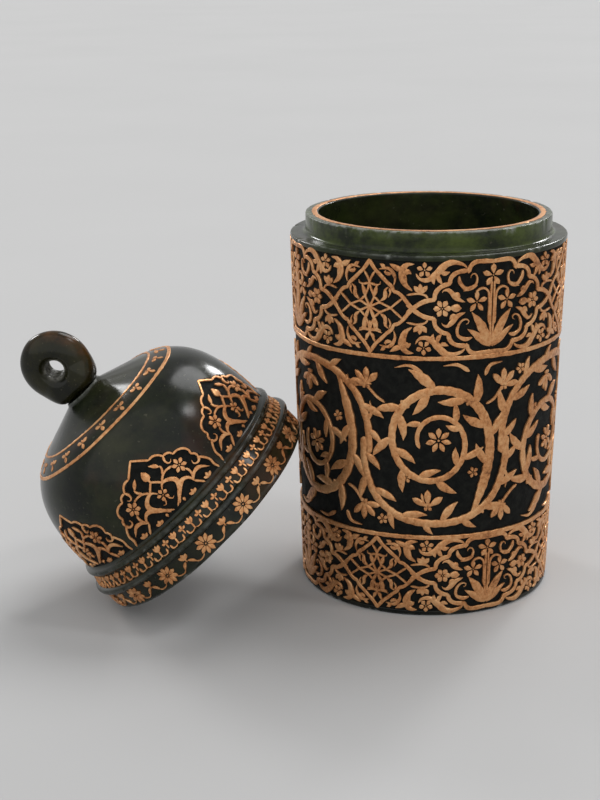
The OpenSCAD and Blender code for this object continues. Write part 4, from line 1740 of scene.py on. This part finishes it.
    def make_lines(self) -> None:
        """Lay the two gold lines round the cap, the outer one bolder."""
        outer, inner = (float(level) for level in self.line_levels())
        lines = (("outer_line", outer, self.outer_line_w, 21), ("inner_line", inner, self.inner_line_w, 22))
        for name, level, width, seed in lines:
            rng = np.random.default_rng(SEED + seed)
            parts = ring_ridge(self.skin, level, width, self.line_rise, self.line_foot, rng)
            self.gild(f"gilt_lid_{name}", f"lid_{name}", parts)

    def make_ornament(self) -> None:
        """Raise the half medallions, the blossoms, the tulips and the daisies, each kind as a piece."""
        skin = self.skin
        line = skin.outline()
        ring = float(self.line_levels().mean())
        ring_r = float(np.interp(ring, along(line), line[:, 0]))
        # For each kind the radius it is measured on, its rise, its foot and the step along a stroke
        sizes = {
            "medallions": (skin.waist_r, 0.1, -0.4, 0.34),
            "blossoms": (ring_r, 0.12, -0.3, 0.3),
            "tulips": (skin.rim_r, 0.1, -0.4, 0.32),
            "daisies": (skin.rim_r, 0.08, -0.4, 0.32),
        }
        kinds = {
            name: Relief(skin, unit, np.random.default_rng(SEED + 23 + i), *rest)
            for i, (name, (unit, *rest)) in enumerate(sizes.items())
        }
        for turn in self.arch_turns:
            kinds["medallions"].add(arch_medallion(), turn, self.arch_foot)
        for i in range(self.blossoms):
            kinds["blossoms"].add(blossom(), self.front + i * 360 / self.blossoms, ring)
        for i in range(self.tulips):
            kinds["tulips"].add(fitted(tulip(), 1.04, 1.12, 1.12), self.front + i * 360 / self.tulips, self.tulip_level)
        for i in range(self.daisies):
            kinds["daisies"].add(daisy(), self.daisy_front + i * 360 / self.daisies, self.daisy_level)
            kinds["daisies"].add(sprig(), self.daisy_front + (i + 0.5) * 360 / self.daisies, self.sprig_level)
        for name, relief in kinds.items():
            self.gild(f"gilt_lid_{name}", f"lid_{name}", relief.parts)

    def finial_reach(self, way: Array) -> Array:
        """Give the disc's reach from its hole in each direction, read between the points of its pear outline.

        Args:
            way: Directions in radians; straight up is a quarter turn.

        Returns:
            The reach: flat towards the foot, and nearly round elsewhere.
        """
        side = points_of("0,6.9 2.9,6.2 5.3,4.3 6.6,1.35 6.3,-2.35 5.1,-5.05 4.1,-6.45 3.4,-6.5 0,-6.5")
        outline = np.vstack([side, side[-2:0:-1] * (-1, 1), side[:1]])
        turns = np.unwrap(np.arctan2(outline[:, 1], outline[:, 0]))[::-1]
        reach = np.hypot(*outline.T)[::-1]
        fine_turns = np.linspace(turns[0], turns[-1], 721)
        fine = np.interp(fine_turns, turns, reach)
        window = np.hanning(61)
        soft = np.convolve(np.r_[fine[-31:-1], fine, fine[1:31]], window / window.sum(), "valid")
        down = np.sin(fine_turns) < -0.86
        fine = np.where(down, 0.5 * (fine + soft), soft)
        return np.interp((way - turns[0]) % (2 * math.pi) + turns[0], fine_turns, fine)

    def peg(self) -> MeshParts:
        """Turn the peg under the finial.

        Returns:
            Its mesh parts, where the lid leans.
        """
        low, high = self.seat_h - self.peg_len, self.seat_h + 1.0
        outline = rounded([(0, low, 0), (self.peg_r, low, 0.2), (self.peg_r, high, 0.1), (0, high, 0)], 3)
        rng = np.random.default_rng(SEED + 27)
        return turned_stone(dense(outline, 0.8), 48, [], 0.0, rng, bare_masks, self.skin.lean)

    def make_finial(self) -> None:
        """Build the pierced pebble-shaped finial with its peg.

        A closed section is carried round the hole. It runs up the hole's wall, over its flared edge, out over the
        face to the pear outline and back under. The face's height over the middle is a root of one minus a power
        of the share of the reach; the power grows towards the foot, which makes it square there. Fine rings are
        cut in the hole's wall.
        """
        way = np.linspace(-0.5 * math.pi, 1.5 * math.pi, 300, endpoint=False)[:, None]
        reach = self.finial_reach(way)
        down = ease(-np.sin(way), 0.35, 0.97)
        face = np.sin(0.5 * math.pi * np.linspace(0, 1, 56)) ** 1.15
        out = self.hole_r + (reach - self.hole_r) * face[None]
        share = out / reach
        power = 2.5 + 5.0 * down
        half_t = (self.disc_half_t + 1.0 * down * share**2) * np.sqrt(np.clip(1 - share**power, 0, 1))
        half_t = half_t * (1 - 0.36 * bell_about(out, self.hole_r, 0.75))
        wall = np.linspace(-1, 1, 46)[None, 1:-1]
        deep = half_t[:, :1] * wall
        ringed = self.hole_r + 0.075 * np.sin(2 * math.pi * deep / 0.62 + way) * (1 - wall**4)
        out = np.hstack([out, out[:, -2::-1], ringed])
        deep = np.hstack([half_t, -half_t[:, -2::-1], deep])
        # The value bore marks the hole's wall and its flared edge, which the finish paints pale as lit.
        bore = np.hstack([0 * half_t, 0 * half_t[:, 1:], 1 + 0 * ringed])
        bore = np.maximum(bore, bell_about(out, self.hole_r, 0.35))
        share = out / reach
        spin = math.radians(self.finial_turn)
        across = out * np.cos(way)
        level = self.seat_h + self.disc_h + out * np.sin(way) + 0.02
        x = deep * math.cos(spin) - across * math.sin(spin)
        y = deep * math.sin(spin) + across * math.cos(spin)
        points = self.skin.lean(np.stack([x, y, level], -1))
        # The amber value: a painted glow of light through the disc's thin edge, on the side turned 160 degrees round
        # the hole.
        edge = ease(share, 0.7, 1.0) * (0.5 + 0.5 * np.cos(way - math.radians(160))) ** 4
        parts = MeshParts()
        parts.add(points, closed_faces(*points.shape[:2]), amber=edge * (1 - bore), bore=bore)
        peg = self.peg()
        peg_points = np.vstack(peg.vertices)
        bare = np.zeros(len(peg_points))
        parts.add(peg_points, np.vstack(peg.quads), peg.fans, amber=bare, bore=bare)
        make_piece("finial_stone", parts, FinialStone().material(), self.body, ["finial"], 60)

    def make(self) -> None:
        """Build every piece of the lid."""
        self.make_stone()
        self.make_lines()
        self.make_ornament()
        self.make_finial()


# Floor, light and camera


@dataclass
class Studio:
    """The pale floor and background, the distant lamps, and the camera at the photograph's angle."""

    floor_size: float = 12.0
    floor_tone: tuple[float, float, float] = (0.45, 0.45, 0.45)
    back_tone: tuple[float, float, float] = (0.56, 0.56, 0.56)
    ambient: float = 0.72
    camera_place: tuple[float, float, float] = (-0.02444, -0.29406, 0.12264)
    pitch: float = 16.59
    roll: float = -0.57
    lens: float = 70.99

    def make_floor(self) -> None:
        """Lay a wide plain floor at the height that the jar stands on."""
        half = 0.5 * self.floor_size / MM
        points = np.array([[-half, -half, 0], [half, -half, 0], [half, half, 0], [-half, half, 0]], float)
        parts = MeshParts()
        parts.add(points, np.array([[0, 1, 2, 3]]))
        bench = NodeBench("pale_floor")
        tone = bench.ramp(bench.noise(180, 3), (0.3, self.floor_tone), (0.7, tuple(0.97 * v for v in self.floor_tone)))
        mesh = parts.mesh("floor", 30)
        mesh.materials.append(bench.finish(Base_Color=tone, Roughness=0.85, Specular_IOR_Level=0.15))
        floor = bpy.data.objects.new("floor", mesh)
        bpy.context.scene.collection.objects.link(floor)

    def make_world(self) -> None:
        """Make a pale background, which mirrors and the camera see at full strength and surfaces at a soft one."""
        world = bpy.data.worlds.new("studio")
        bpy.context.scene.world = world
        world.use_nodes = True
        tree = world.node_tree
        background = tree.nodes["Background"]
        background.inputs["Color"].default_value = (*self.back_tone, 1.0)
        path = tree.nodes.new("ShaderNodeLightPath")
        seen = path.outputs["Is Camera Ray"]
        for name in ("Is Glossy Ray", "Is Transmission Ray"):
            most = tree.nodes.new("ShaderNodeMath")
            most.operation = "MAXIMUM"
            tree.links.new(seen, most.inputs[0])
            tree.links.new(path.outputs[name], most.inputs[1])
            seen = most.outputs[0]
        span = tree.nodes.new("ShaderNodeMapRange")
        span.inputs["To Min"].default_value = self.ambient
        span.inputs["To Max"].default_value = 1.0
        tree.links.new(seen, span.inputs["Value"])
        tree.links.new(span.outputs["Result"], background.inputs["Strength"])

    def make_sun(self, name: str, way: Sequence[float], spread: float, strength: float) -> None:
        """Add a distant lamp of a given width.

        Args:
            name: Its name.
            way: The direction that it shines from.
            spread: The angle across it in degrees.
            strength: Its strength in watts per square metre.
        """
        lamp = bpy.data.lights.new(name, "SUN")
        lamp.angle = math.radians(spread)
        lamp.energy = strength
        back = np.array(way) / np.linalg.norm(way)
        side = np.cross([0.0, 0.0, 1.0], back)
        side = side / np.linalg.norm(side)
        rows = np.stack([side, np.cross(back, side), back, back], 1)
        holder = bpy.data.objects.new(name, lamp)
        holder.matrix_world = Matrix([*rows.tolist(), [0, 0, 0, 1]])
        bpy.context.scene.collection.objects.link(holder)

    def make_camera(self) -> None:
        """Set the camera: level, then pitched down and rolled as the photograph's."""
        pitch, roll = math.radians(self.pitch), math.radians(self.roll)
        ahead = np.array([0.0, math.cos(pitch), -math.sin(pitch)])
        level = np.array([1.0, 0.0, 0.0])
        over = np.cross(level, ahead)
        right = math.cos(roll) * level + math.sin(roll) * over
        up = -math.sin(roll) * level + math.cos(roll) * over
        data = bpy.data.cameras.new("camera")
        data.sensor_fit = "VERTICAL"
        data.sensor_height = 36.0
        data.lens = self.lens
        data.clip_start = 0.01
        data.clip_end = 50.0
        camera = bpy.data.objects.new("camera", data)
        rows = [[right[i], up[i], -ahead[i], self.camera_place[i]] for i in range(3)]
        camera.matrix_world = Matrix(rows + [[0, 0, 0, 1]])
        bpy.context.scene.collection.objects.link(camera)
        bpy.context.scene.camera = camera

    def make(self) -> None:
        """Set the stage."""
        self.make_floor()
        self.make_world()
        for name, way, spread, strength in (
            ("overhead", (0.32, 0.40, 0.86), 34, 1.5),
            ("front_fill", (-0.30, -0.85, 0.43), 110, 1.25),
            ("back_right", (0.41, 0.78, 0.48), 10, 0.75),
            ("back_left", (-0.60, 0.69, 0.40), 15, 0.85),
            ("over_right", (0.49, -0.21, 0.85), 9, 0.35),
        ):
            self.make_sun(name, way, spread, strength)
        self.make_camera()
        bpy.context.scene.view_settings.view_transform = "Standard"


def main() -> None:
    """Build the jar, the lid and the studio in order."""
    logging.basicConfig(level=logging.INFO, format="%(name)s %(message)s")
    stone = DarkStone().material()
    gold = CopperGold().material()
    Jar(stone, gold).make()
    Lid(stone, gold).make()
    Studio().make()


if __name__ == "__main__":
    main()
